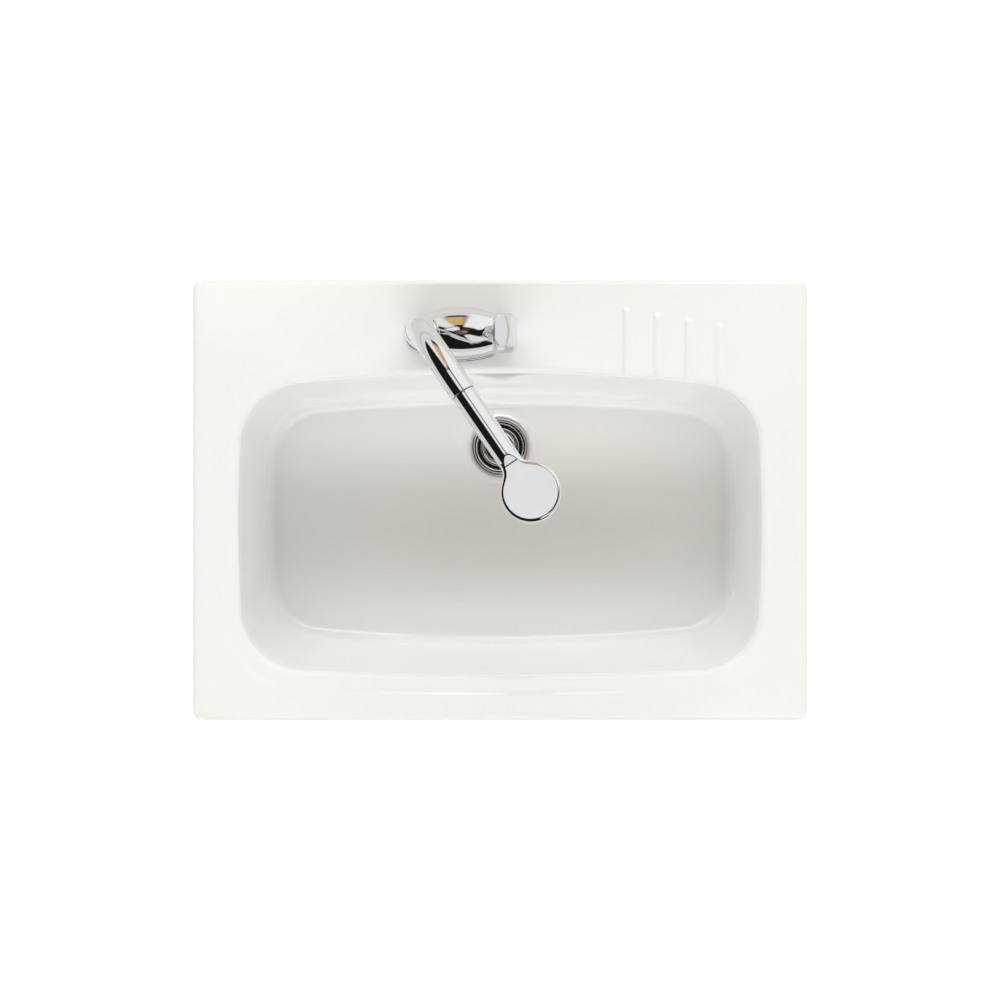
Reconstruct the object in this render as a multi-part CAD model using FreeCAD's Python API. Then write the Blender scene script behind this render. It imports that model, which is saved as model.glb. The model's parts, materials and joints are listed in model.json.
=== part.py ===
import FreeCAD, Part
import math
import os

# Ceramic kitchen sink with a swivelling pull-out mixer tap and a stoppered waste.
# Millimetres and degrees. +X is right, +Y towards the wall, +Z up. The origin is the
# middle of the rim's underside, the face that rests on the cabinet.

V = FreeCAD.Vector
RIGHT = V(1, 0, 0)
BACK = V(0, 1, 0)
UP = V(0, 0, 1)
DOWN = V(0, 0, -1)

# Rim and deck of the ceramic
SINK_WIDTH = 600.0
SINK_DEPTH = 430.0
RIM_HEIGHT = 42.0
RIM_CORNER_R = 9.0
RIM_EDGE_R = 5.0
SKIRT_WALL = 14.0
DECK_THICKNESS = 13.0

# Bowl: the ledges are the flat deck left round its opening, the bows its curved sides
SIDE_LEDGE = 44.0
BACK_LEDGE = 90.6
FRONT_LEDGE = 43.7
BOWL_DEPTH = 180.0
BOWL_WALL = 12.0
MOUTH_CORNER_R = 60.0
MOUTH_SIDE_BOW = 8.0
MOUTH_BACK_BOW = 17.5
MOUTH_FRONT_BOW = 8.0
MOUTH_EDGE_R = 7.0
FLOOR_SIDE_INSET = 10.0
FLOOR_BACK_INSET = 16.0
FLOOR_FRONT_INSET = 21.0
FLOOR_CORNER_R = 58.0
FLOOR_SIDE_BOW = 8.0
FLOOR_BACK_BOW = 15.0
FLOOR_FRONT_BOW = 16.0
FLOOR_EDGE_R = 24.0
FLOOR_FALL = 1.2

# Sunk lip along the bowl's front edge
LIP_WIDTH = 18.0
LIP_DEPTH = 3.0
LIP_RUN = 64.0

# Raised ribs on the right of the deck
RIB_COUNT = 4
RIB_FIRST_X = 123.7
RIB_PITCH = 30.3
RIB_RADIUS = 5.0
RIB_HEIGHT = 2.0
RIB_FROM_BACK = 32.0
RIB_STAGGER = 5.0

# Waste
WASTE_FROM_BACK = 159.0
WASTE_HOLE_R = 23.0
WASTE_DISH_R = 38.0
WASTE_DISH_DEPTH = 9.0
WASTE_BOSS_R = 44.0
WASTE_BOSS_DEPTH = 6.0
FLANGE_R = 30.0
FLANGE_THICKNESS = 2.2
FLANGE_SEAL_THICKNESS = 1.4
FLANGE_SEAL_R = 29.5
TAIL_R = 20.95
TAIL_BORE_R = 17.5
TAIL_LENGTH = 80.0
TAIL_NECK_DEPTH = 10.5
TAIL_FREE_LENGTH = 42.0
TAIL_GROOVE_R = 20.2
TAIL_GROOVE_WIDTH = 2.0
SEAT_R = 20.6
GRID_BAR = 3.0
GRID_HEIGHT = 4.0
GRID_DEPTH = 34.0
LOWER_WASHER_R = 31.0
LOWER_SEAL_THICKNESS = 4.0
SLIP_WASHER_THICKNESS = 1.5
BACKNUT_FLATS = 52.0
BACKNUT_HEIGHT = 11.0

# Stopper
STOPPER_R = 20.4
STOPPER_GAP = 0.15
STOPPER_HUB_R = 13.0
STOPPER_SEAL_TOP = -5.6
STOPPER_SEAL_BOTTOM = -10.2
STOPPER_RIM_TOP = -3.4
STOPPER_RIM_WIDTH = 1.8
STOPPER_GROOVE_WIDTH = 2.2
STOPPER_GROOVE_DEPTH = 1.0
STOPPER_DOME_RISE = 1.6
STOPPER_KNOB_R = 4.6
STOPPER_KNOB_NECK_R = 3.2
STOPPER_KNOB_TOP = 5.0
STOPPER_BEVEL = 0.8
GUIDE_ROD_R = 5.0
GUIDE_FIN = 2.4
GUIDE_CLEARANCE = 0.3
GUIDE_BOTTOM = -26.0

# Tap body: its frame starts at the tap hole's centre on the deck
TAP_FROM_BACK = 54.0
TAP_HOLE_X = -46.0
TAP_HOLE_R = 17.5
BODY_HALF_WIDTH = 25.0
BODY_TAIL_R = 14.5
BODY_FLANK_R = 90.0
BODY_END_X = 40.5
BODY_AXIS_Z = 27.0
BODY_FOOT_GROW = 1.5
BODY_FOOT_HEIGHT = 3.0
BODY_SHANK_R = 16.0
BODY_SHANK_DROP = 8.0
GASKET_THICKNESS = 1.5
GASKET_INSET = 0.5
INLET_X = 6.0
INLET_Y = 8.0
INLET_R = 4.0
INLET_LENGTH = 10.0
INLET_MOUTH_Z = 2.5
INLET_WAY_R = 4.6
INLET_CHANNEL_R = 2.5
CHANNEL_TOP = 17.0

# Tap fixing under the deck
STUD_X = -9.5
STUD_R = 4.0
STUD_TOP = 12.0
STUD_BOTTOM = -40.0
CLAMP_R = 23.0
CLAMP_SLOT_X = -3.0
CLAMP_SLOT_HALF = 13.5
CLAMP_RUBBER_THICKNESS = 3.0
CLAMP_PLATE_THICKNESS = 2.5
STUD_CLEARANCE = 0.1
FIXING_NUT_FLATS = 13.0
FIXING_NUT_HEIGHT = 8.0

# Cartridge, along the body's X axis from the chamber's floor
CHAMBER_R = 14.3
CHAMBER_FLOOR_X = 2.0
BASE_SEAL_THICKNESS = 2.0
HOUSING_R = 14.2
HOUSING_BORE_R = 12.2
HOUSING_LENGTH = 30.0
HOUSING_END = 3.0
HOUSING_LIP_R = 9.9
DISC_R = 12.1
DISC_THICKNESS = 4.0
PORT_R = 2.4
PORT_OFFSET = 6.0
MOVING_DISC_R = 8.0
MIXING_POCKET_R = 5.0
MIXING_POCKET_DEPTH = 2.5
CARRIER_LENGTH = 5.8
CARRIER_SOCKET_DEPTH = 3.9
CARRIER_SOCKET_R = 3.35
ROTOR_GAP = 0.6
ROTOR_END_PLAY = 0.1
ROTOR_NECK_R = 9.8
ROTOR_NECK_LENGTH = 5.1
ROTOR_SLOT_CLEARANCE = 0.3
ROTOR_SLOT_HALF_Z = 7.6
PIVOT_FROM_END = 8.5
PIN_R = 1.5
PIN_CLEARANCE = 0.05
PIN_LENGTH = 16.0
STEM_SIZE = 6.0
STEM_TAIL = 4.0
STEM_NECK_R = 2.2
STEM_BALL_R = 3.2
STEM_ARM = 11.5
STEM_REACH = 27.5

# Domed nut that holds the cartridge in
NUT_SEAT_R = 16.0
NUT_R = 15.95
NUT_BORE_R = 10.4
DOME_R = 18.4
DOME_WALL = 2.2
DOME_REACH = 15.0
DOME_MOUTH_R = 10.2

# Lever
CAP_PROUD = 0.2
CAP_CAVITY_R = 19.0
CAP_END_X = 62.5
CAP_END_ROUND = 7.0
CAP_TOP_GAP = 0.7
CAP_BOTTOM_GAP = 8.1
STEM_SOCKET_CLEARANCE = 0.05
STEM_SOCKET_END = 60.0
FIN_HALF_WIDTH = 15.5
FIN_TIP_X = 38.5
FIN_TIP_DROP = 3.8
FIN_CREST_X = 43.0
FIN_CREST_RISE = 47.0
FIN_OUTER_X = 63.5
FIN_OUTER_GAP = 1.5
FIN_INNER_X = 53.0
FIN_ROOT_RISE = 4.0
FIN_TIP_BULGE = 3.5
FIN_TIP_CORNER_R = 5.0
FIN_EDGE_R = 1.5
GRUB_X = 57.5
GRUB_R = 2.05
GRUB_LENGTH = 8.0
PLUG_R = 2.75
PLUG_THICKNESS = 2.0

# Spout: its frame starts at the column's foot on the deck, +X along the spout
COLUMN_X = -30.5
COLUMN_R = 13.5
COLUMN_BASE_Z = 10.0
COLUMN_TOP_Z = 58.0
COLUMN_BORE_R = 11.95
COLUMN_BORE_FLOOR = 16.5
WATER_WAY_R = 5.0
WEAR_RING_THICKNESS = 1.0
WEAR_RING_INSET = 0.3
SPOUT_HEADING = -55.8
NECK_R = 12.5
NECK_BORE_R = 10.0
NECK_STRAIGHT = 12.0
NECK_COLLAR_HEIGHT = 7.0
SEAM_REACH = 76.5
DOCK_LENGTH = 22.0
SPOUT_RISE = 9.0
SPIGOT_BORE_R = 7.5
SPIGOT_BOTTOM = 18.5
SPIGOT_TOP = 70.5
SWIVEL_CLEARANCE = 0.05
BUSH_LENGTH = 9.0
LOWER_BUSH_Z = 22.0
UPPER_BUSH_Z = 48.5
O_RING_HEIGHTS = (36.0, 43.0)
CLIP_Z = 20.4
CLIP_THICKNESS = 1.2
CLIP_GROOVE_R = 8.6
CLIP_R = 11.5

# Pull-out handset: +X along its axis from the seam
SHANK_R = 7.5
SHANK_BORE_R = 4.5
SHANK_INSIDE_NECK = 24.0
SHANK_INSIDE_SHELL = 14.0
DOCK_BUSH_LENGTH = 20.0
DOCK_CLEARANCE = 0.05
SEAM_GAP = 0.4
VALVE_START = -10.0
VALVE_LENGTH = 12.0
VALVE_BORE_R = 2.0
HANDLE_ROOT_R = 11.3
HANDLE_TIP_R = 10.8
HANDLE_LENGTH = 84.0
HANDLE_BEVEL_START = 70.0
HANDLE_BEVEL_END = 80.0
HEAD_X = 111.6
HEAD_R = 28.0
HEAD_TOP = 8.0
HEAD_BOTTOM = -7.0
HEAD_EDGE_R = 3.5
WEB_ROOT_HALF = 10.0
WEB_BLEND_R = 8.0
WEB_INSET = 1.0
CHAMBER_TOP = 4.5
SPRAY_CHAMBER_R = 22.5
SPRAY_PLATE_R = 24.0
SPRAY_PLATE_THICKNESS = 3.0
AERATOR_R = 7.5
AERATOR_PROUD = 0.6
AERATOR_TOP = -1.0
AERATOR_HOLE_R = 0.9
AERATOR_HOLE_PITCH = 2.6
MAT_R = 22.0
MAT_THICKNESS = 1.0
NOZZLE_R = 0.9
NOZZLE_PROUD = 0.8
NOZZLE_RING_RADII = (11.0, 15.5, 20.0)
NOZZLE_RING_COUNTS = (12, 18, 24)

# Places worked out from the sizes
DECK_UNDERSIDE = RIM_HEIGHT - DECK_THICKNESS
FLOOR_Z = RIM_HEIGHT - BOWL_DEPTH
MOUTH_HALF = SINK_WIDTH / 2 - SIDE_LEDGE
MOUTH_BACK = SINK_DEPTH / 2 - BACK_LEDGE
MOUTH_FRONT = FRONT_LEDGE - SINK_DEPTH / 2
WASTE_PLACE = V(0, SINK_DEPTH / 2 - WASTE_FROM_BACK, FLOOR_Z)
WASTE_UNDERSIDE = -BOWL_WALL - WASTE_BOSS_DEPTH
DISH_SLOPE = WASTE_DISH_DEPTH / (WASTE_DISH_R - WASTE_HOLE_R)
TAP_PLACE = V(TAP_HOLE_X, SINK_DEPTH / 2 - TAP_FROM_BACK, RIM_HEIGHT)
BODY_AXIS = V(0, 0, BODY_AXIS_Z)
FLANK_X = COLUMN_X + math.sqrt(
    (BODY_HALF_WIDTH - BODY_TAIL_R) * (2 * BODY_FLANK_R - BODY_TAIL_R - BODY_HALF_WIDTH))
FLANK_Y = BODY_HALF_WIDTH - BODY_FLANK_R
BODY_END_R = FLANK_Y + math.sqrt(BODY_FLANK_R ** 2 - (BODY_END_X - FLANK_X) ** 2)
HOUSING_X = CHAMBER_FLOOR_X + BASE_SEAL_THICKNESS
HOUSING_FRONT_X = HOUSING_X + HOUSING_LENGTH
FIXED_DISC_X = HOUSING_X + HOUSING_END
MOVING_DISC_X = FIXED_DISC_X + DISC_THICKNESS
CARRIER_X = MOVING_DISC_X + DISC_THICKNESS
ROTOR_X = CARRIER_X + CARRIER_LENGTH + ROTOR_GAP
ROTOR_SHOULDER_X = HOUSING_FRONT_X - HOUSING_END - ROTOR_END_PLAY
PIVOT = V(BODY_END_X - PIVOT_FROM_END, 0, BODY_AXIS_Z)
CAP_R = BODY_END_R + CAP_PROUD
FIN_OUTER_RISE = CAP_R + FIN_OUTER_GAP
ROTOR_SLOT_HALF_Y = STEM_BALL_R + ROTOR_SLOT_CLEARANCE
NECK_BASE_Z = COLUMN_TOP_Z + WEAR_RING_THICKNESS
BEND_START_Z = NECK_BASE_Z + NECK_STRAIGHT
RISE = math.radians(SPOUT_RISE)
BEND_R = (SEAM_REACH - DOCK_LENGTH * math.cos(RISE)) / (1 - math.sin(RISE))
SPOUT_AXIS = V(math.cos(RISE), 0, math.sin(RISE))
BEND_END = V(BEND_R * (1 - math.sin(RISE)), 0, BEND_START_Z + BEND_R * math.cos(RISE))
SEAM = BEND_END + SPOUT_AXIS * DOCK_LENGTH
WEB_TOP = HEAD_TOP - WEB_INSET
WEB_BOTTOM = HEAD_BOTTOM + WEB_INSET
SPRAY_PLATE_TOP = HEAD_BOTTOM + SPRAY_PLATE_THICKNESS


# General shapes
def rod(radius, length, base, axis=UP):
    return Part.makeCylinder(radius, length, base, axis)


def tube(radius, bore, length, base, axis=UP):
    return rod(radius, length, base, axis).cut(rod(bore, length, base, axis))


def block(low, high):
    return Part.makeBox(high.x - low.x, high.y - low.y, high.z - low.z, low)


def lathe(profile):
    """Turn (radius, height) points about the Z axis."""
    points = [V(radius, 0, height) for radius, height in profile]
    face = Part.Face(Part.makePolygon(points + points[:1]))
    return face.revolve(V(), UP, 360)


def side_prism(profile, half_width):
    """Extrude (x, z) points evenly to both sides of the XZ plane."""
    points = [V(x, -half_width, z) for x, z in profile]
    face = Part.Face(Part.makePolygon(points + points[:1]))
    return face.extrude(V(0, 2 * half_width, 0))


def hexagon(flats, height, base):
    corner_r = flats / math.sqrt(3)
    points = [V(corner_r * math.cos(i * math.pi / 3), corner_r * math.sin(i * math.pi / 3), 0)
              for i in range(7)]
    prism = Part.Face(Part.makePolygon(points)).extrude(V(0, 0, height))
    prism.translate(base)
    return prism


def arc(start, middle, end):
    return Part.Arc(start, middle, end).toShape()


def line(start, end):
    return Part.LineSegment(start, end).toShape()


def unit(vector):
    return vector / vector.Length


def fuse(shapes):
    return shapes[0].multiFuse(shapes[1:]).removeSplitter()


def level_edges(shape, height):
    """Edges that lie flat at a height."""
    return [edge for edge in shape.Edges
            if abs(edge.BoundBox.ZMin - height) < 1e-4 and abs(edge.BoundBox.ZMax - height) < 1e-4]


def rounded_slab(width, depth, corner_r, low, high):
    slab = block(V(-width / 2, -depth / 2, low), V(width / 2, depth / 2, high))
    upright = [edge for edge in slab.Edges if edge.BoundBox.ZLength > (high - low) / 2]
    return slab.makeFillet(corner_r, upright)


# Bowl outline: four bowed sides joined by tangent corner arcs
def corner_arc(end_centre, end_r, side_centre, side_r, corner_r, grow):
    """Right-hand corner that touches an end arc and a side arc: its two ends and middle."""
    to_side = side_centre - end_centre
    end_reach = end_r - corner_r
    side_reach = side_r - corner_r
    along = (end_reach ** 2 - side_reach ** 2 + to_side.Length ** 2) / (2 * to_side.Length)
    across = math.sqrt(end_reach ** 2 - along ** 2)
    direction = unit(to_side)
    normal = V(-direction.y, direction.x, 0)
    foot = end_centre + direction * along
    centre = max(foot + normal * across, foot - normal * across, key=lambda point: point.x)
    from_end = unit(centre - end_centre)
    from_side = unit(centre - side_centre)
    size = corner_r + grow
    return centre + from_end * size, centre + unit(from_end + from_side) * size, centre + from_side * size


def bowed_wire(half, back, front, bows, corner_r, grow, height):
    side_bow, back_bow, front_bow = bows
    middle = (back + front) / 2
    side_r = (((back - front) / 2) ** 2 + side_bow ** 2) / (2 * side_bow)
    side_centre = V(half - side_r, middle, 0)
    back_r = (half ** 2 + back_bow ** 2) / (2 * back_bow)
    front_r = (half ** 2 + front_bow ** 2) / (2 * front_bow)
    back_end, back_mid, back_side = corner_arc(
        V(0, back - back_r, 0), back_r, side_centre, side_r, corner_r, grow)
    front_end, front_mid, front_side = corner_arc(
        V(0, front + front_r, 0), front_r, side_centre, side_r, corner_r, grow)

    def mirror(point):
        return V(-point.x, point.y, 0)

    wire = Part.Wire([
        arc(mirror(back_end), V(0, back + grow, 0), back_end),
        arc(back_end, back_mid, back_side),
        arc(back_side, V(half + grow, middle, 0), front_side),
        arc(front_side, front_mid, front_end),
        arc(front_end, V(0, front - grow, 0), mirror(front_end)),
        arc(mirror(front_end), mirror(front_mid), mirror(front_side)),
        arc(mirror(front_side), V(-half - grow, middle, 0), mirror(back_side)),
        arc(mirror(back_side), mirror(back_mid), mirror(back_end))])
    wire.translate(V(0, 0, height))
    return wire


def mouth_wire(grow, height):
    bows = (MOUTH_SIDE_BOW, MOUTH_BACK_BOW, MOUTH_FRONT_BOW)
    return bowed_wire(MOUTH_HALF, MOUTH_BACK, MOUTH_FRONT, bows, MOUTH_CORNER_R, grow, height)


def floor_wire(grow, height):
    bows = (FLOOR_SIDE_BOW, FLOOR_BACK_BOW, FLOOR_FRONT_BOW)
    wire = bowed_wire(MOUTH_HALF - FLOOR_SIDE_INSET, MOUTH_BACK - FLOOR_BACK_INSET,
                      MOUTH_FRONT + FLOOR_FRONT_INSET, bows, FLOOR_CORNER_R, grow, height)
    wire.rotate(V(0, WASTE_PLACE.y, height), RIGHT, -FLOOR_FALL)
    return wire


def bowl_form(grow, top):
    """Bowl as a solid, grown outwards and downwards, with its floor's edge rounded."""
    form = Part.makeLoft([floor_wire(grow, FLOOR_Z - grow), mouth_wire(grow, top)], True, True)
    floor = min(form.Faces, key=lambda face: face.CenterOfMass.z)
    return form.makeFillet(FLOOR_EDGE_R + grow, floor.Edges)


def lip_form():
    """Sunk lip: deepest along the front, running out to nothing at the sides."""
    outline = Part.Face(mouth_wire(LIP_WIDTH, RIM_HEIGHT - LIP_DEPTH))
    fade_y = MOUTH_FRONT + LIP_RUN
    front_y = MOUTH_FRONT - LIP_WIDTH
    wedge_points = [V(-SINK_WIDTH / 2, fade_y, RIM_HEIGHT),
                    V(-SINK_WIDTH / 2, front_y, RIM_HEIGHT - LIP_DEPTH),
                    V(-SINK_WIDTH / 2, front_y, RIM_HEIGHT + LIP_DEPTH),
                    V(-SINK_WIDTH / 2, fade_y, RIM_HEIGHT + LIP_DEPTH)]
    wedge = Part.Face(Part.makePolygon(wedge_points + wedge_points[:1])).extrude(V(SINK_WIDTH, 0, 0))
    return outline.extrude(V(0, 0, 2 * LIP_DEPTH)).common(wedge)


def rib(index):
    """Low rounded rib from the deck's back to the bowl's edge."""
    x = RIB_FIRST_X + index * RIB_PITCH
    axis_z = RIM_HEIGHT + RIB_HEIGHT - RIB_RADIUS
    back_y = SINK_DEPTH / 2 - RIB_FROM_BACK - index * RIB_STAGGER
    side_drop = MOUTH_BACK_BOW * (x / MOUTH_HALF) ** 2
    front_y = MOUTH_BACK - side_drop + MOUTH_EDGE_R
    bar = rod(RIB_RADIUS, back_y - front_y, V(x, front_y, axis_z), BACK)
    ends = [Part.makeSphere(RIB_RADIUS, V(x, y, axis_z)) for y in (front_y, back_y)]
    return fuse([bar] + ends)


def mouth_edges(shape):
    """Edges where the bowl's wall meets the deck and the sunk lip."""
    mouth = mouth_wire(0, RIM_HEIGHT)
    top = [edge for edge in shape.Edges if edge.BoundBox.ZMin > RIM_HEIGHT - 2 * LIP_DEPTH]
    middles = [edge.valueAt((edge.FirstParameter + edge.LastParameter) / 2) for edge in top]
    return [edge for edge, middle in zip(top, middles)
            if Part.Vertex(middle).distToShape(mouth)[0] < LIP_DEPTH]


def sink_basin():
    rim = rounded_slab(SINK_WIDTH, SINK_DEPTH, RIM_CORNER_R, 0, RIM_HEIGHT)
    rim = rim.makeFillet(RIM_EDGE_R, level_edges(rim, RIM_HEIGHT))
    hollow = rounded_slab(SINK_WIDTH - 2 * SKIRT_WALL, SINK_DEPTH - 2 * SKIRT_WALL,
                          RIM_CORNER_R, 0, DECK_UNDERSIDE)
    waste_boss = rod(WASTE_BOSS_R, -WASTE_UNDERSIDE, WASTE_PLACE + UP * WASTE_UNDERSIDE)
    body = fuse([rim.cut(hollow), bowl_form(BOWL_WALL, RIM_HEIGHT - RIM_EDGE_R), waste_boss])
    body = body.cut(lip_form()).cut(bowl_form(0, RIM_HEIGHT))
    body = body.makeFillet(MOUTH_EDGE_R, mouth_edges(body))
    body = fuse([body] + [rib(index) for index in range(RIB_COUNT)])
    dish = Part.makeCone(WASTE_HOLE_R, WASTE_DISH_R + WASTE_DISH_DEPTH / DISH_SLOPE,
                         2 * WASTE_DISH_DEPTH, WASTE_PLACE + DOWN * WASTE_DISH_DEPTH)
    waste_hole = rod(WASTE_HOLE_R, -2 * WASTE_UNDERSIDE, WASTE_PLACE + UP * 2 * WASTE_UNDERSIDE)
    tap_hole = rod(TAP_HOLE_R, 2 * DECK_THICKNESS, TAP_PLACE + DOWN * 2 * DECK_THICKNESS)
    return body.cut(dish.fuse(waste_hole)).cut(tap_hole)


# Waste pieces, about the waste's own axis with the bowl's floor at zero
def dish_height(radius):
    return -(WASTE_DISH_R - radius) * DISH_SLOPE


def waste_upper_seal():
    inner_r = WASTE_HOLE_R
    thick = FLANGE_SEAL_THICKNESS
    return lathe([(inner_r, dish_height(inner_r)), (FLANGE_SEAL_R, dish_height(FLANGE_SEAL_R)),
                  (FLANGE_SEAL_R, dish_height(FLANGE_SEAL_R) + thick),
                  (inner_r, dish_height(inner_r) + thick)])


def waste_body():
    under = FLANGE_SEAL_THICKNESS
    over = under + FLANGE_THICKNESS
    groove_low = TAIL_FREE_LENGTH - TAIL_LENGTH
    groove_high = groove_low + TAIL_GROOVE_WIDTH
    body = lathe([(FLANGE_R, dish_height(FLANGE_R) + under), (FLANGE_R, dish_height(FLANGE_R) + over),
                  (SEAT_R, dish_height(SEAT_R) + over), (TAIL_BORE_R, -TAIL_NECK_DEPTH),
                  (TAIL_BORE_R, -TAIL_LENGTH), (TAIL_R, -TAIL_LENGTH),
                  (TAIL_R, groove_low), (TAIL_GROOVE_R, groove_low),
                  (TAIL_GROOVE_R, groove_high), (TAIL_R, groove_high), (TAIL_R, -TAIL_NECK_DEPTH),
                  (WASTE_HOLE_R, dish_height(WASTE_HOLE_R) + under)])
    half_bar = GRID_BAR / 2
    bars = [block(V(-TAIL_R + half_bar, -half_bar, -GRID_DEPTH),
                  V(TAIL_R - half_bar, half_bar, GRID_HEIGHT - GRID_DEPTH)),
            block(V(-half_bar, -TAIL_R + half_bar, -GRID_DEPTH),
                  V(half_bar, TAIL_R - half_bar, GRID_HEIGHT - GRID_DEPTH))]
    return fuse([body] + bars)


def waste_lower_seal():
    return tube(LOWER_WASHER_R, TAIL_R, LOWER_SEAL_THICKNESS,
                UP * (WASTE_UNDERSIDE - LOWER_SEAL_THICKNESS))


def waste_slip_washer():
    top = WASTE_UNDERSIDE - LOWER_SEAL_THICKNESS
    return tube(LOWER_WASHER_R, TAIL_R, SLIP_WASHER_THICKNESS, UP * (top - SLIP_WASHER_THICKNESS))


def waste_backnut():
    top = WASTE_UNDERSIDE - LOWER_SEAL_THICKNESS - SLIP_WASHER_THICKNESS
    base = UP * (top - BACKNUT_HEIGHT)
    return hexagon(BACKNUT_FLATS, BACKNUT_HEIGHT, base).cut(rod(TAIL_R, BACKNUT_HEIGHT, base))


def seat_radius(height):
    """Radius of the stopper's seat at a height."""
    top = dish_height(SEAT_R) + FLANGE_SEAL_THICKNESS + FLANGE_THICKNESS
    share = (height + TAIL_NECK_DEPTH) / (top + TAIL_NECK_DEPTH)
    return TAIL_BORE_R + share * (SEAT_R - TAIL_BORE_R)


def stopper_seal():
    shoulder = dish_height(SEAT_R) + FLANGE_SEAL_THICKNESS + FLANGE_THICKNESS
    shoulder_r = SEAT_R - STOPPER_GAP
    return lathe([(STOPPER_HUB_R, STOPPER_SEAL_BOTTOM),
                  (seat_radius(STOPPER_SEAL_BOTTOM) - STOPPER_GAP, STOPPER_SEAL_BOTTOM),
                  (shoulder_r, shoulder), (shoulder_r, STOPPER_SEAL_TOP),
                  (STOPPER_HUB_R, STOPPER_SEAL_TOP)])


def stopper_cap():
    rim_inner = STOPPER_R - STOPPER_BEVEL - STOPPER_RIM_WIDTH
    groove_z = STOPPER_RIM_TOP - STOPPER_GROOVE_DEPTH
    dome_r = rim_inner - STOPPER_GROOVE_WIDTH
    dome_top = STOPPER_RIM_TOP + STOPPER_DOME_RISE
    knob_base = STOPPER_KNOB_TOP - 2 * STOPPER_KNOB_NECK_R
    return lathe([(0, STOPPER_SEAL_BOTTOM), (STOPPER_HUB_R, STOPPER_SEAL_BOTTOM),
                  (STOPPER_HUB_R, STOPPER_SEAL_TOP), (STOPPER_R, STOPPER_SEAL_TOP),
                  (STOPPER_R, STOPPER_RIM_TOP - STOPPER_BEVEL),
                  (STOPPER_R - STOPPER_BEVEL, STOPPER_RIM_TOP),
                  (rim_inner, STOPPER_RIM_TOP), (rim_inner, groove_z), (dome_r, groove_z),
                  (dome_r, STOPPER_RIM_TOP), (STOPPER_KNOB_NECK_R, dome_top),
                  (STOPPER_KNOB_NECK_R, knob_base + STOPPER_KNOB_NECK_R),
                  (STOPPER_KNOB_R, knob_base + STOPPER_KNOB_R),
                  (STOPPER_KNOB_R, STOPPER_KNOB_TOP - STOPPER_BEVEL),
                  (STOPPER_KNOB_R - STOPPER_BEVEL, STOPPER_KNOB_TOP), (0, STOPPER_KNOB_TOP)])


def stopper_guide():
    length = STOPPER_SEAL_BOTTOM - GUIDE_BOTTOM
    base = UP * GUIDE_BOTTOM
    reach = TAIL_BORE_R - GUIDE_CLEARANCE
    half = GUIDE_FIN / 2
    fins = block(V(-reach, -half, GUIDE_BOTTOM), V(reach, half, STOPPER_SEAL_BOTTOM)).fuse(
        block(V(-half, -reach, GUIDE_BOTTOM), V(half, reach, STOPPER_SEAL_BOTTOM)))
    hub = rod(GUIDE_ROD_R, length, base)
    return fuse([hub, fins]).common(rod(reach, length, base))


# Tap body and its outline seen from above: a tear-drop of two tangent arcs
def body_outline(grow):
    """Upper half of the outline: tail point, tail middle, join, widest point, end."""
    tail_r = BODY_TAIL_R + grow
    join = unit(V(COLUMN_X - FLANK_X, -FLANK_Y, 0))
    tail_mid = unit(join + V(-1, 0, 0))
    end_y = FLANK_Y + math.sqrt((BODY_FLANK_R + grow) ** 2 - (BODY_END_X - FLANK_X) ** 2)
    centre = V(COLUMN_X, 0, 0)
    return (centre + V(-tail_r, 0, 0), centre + tail_mid * tail_r, centre + join * tail_r,
            V(FLANK_X, BODY_HALF_WIDTH + grow, 0), V(BODY_END_X, end_y, 0))


def body_plan(grow, low, high):
    """Slab with the body's outline."""
    tail, tail_mid, join, widest, end = body_outline(grow)

    def mirror(point):
        return V(point.x, -point.y, 0)

    face = Part.Face(Part.Wire([
        arc(tail, tail_mid, join), arc(join, widest, end), line(end, mirror(end)),
        arc(mirror(end), mirror(widest), mirror(join)), arc(mirror(join), mirror(tail_mid), tail)]))
    slab = face.extrude(V(0, 0, high - low))
    slab.translate(V(0, 0, low))
    return slab


def body_egg():
    """The outline turned about the cartridge's axis."""
    tail, tail_mid, join, widest, end = body_outline(0)
    face = Part.Face(Part.Wire([arc(tail, tail_mid, join), arc(join, widest, end),
                                line(end, V(BODY_END_X, 0, 0)), line(V(BODY_END_X, 0, 0), tail)]))
    egg = face.revolve(V(), RIGHT, 360)
    egg.translate(BODY_AXIS)
    return egg


def axis_place(x):
    return BODY_AXIS + RIGHT * x


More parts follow.
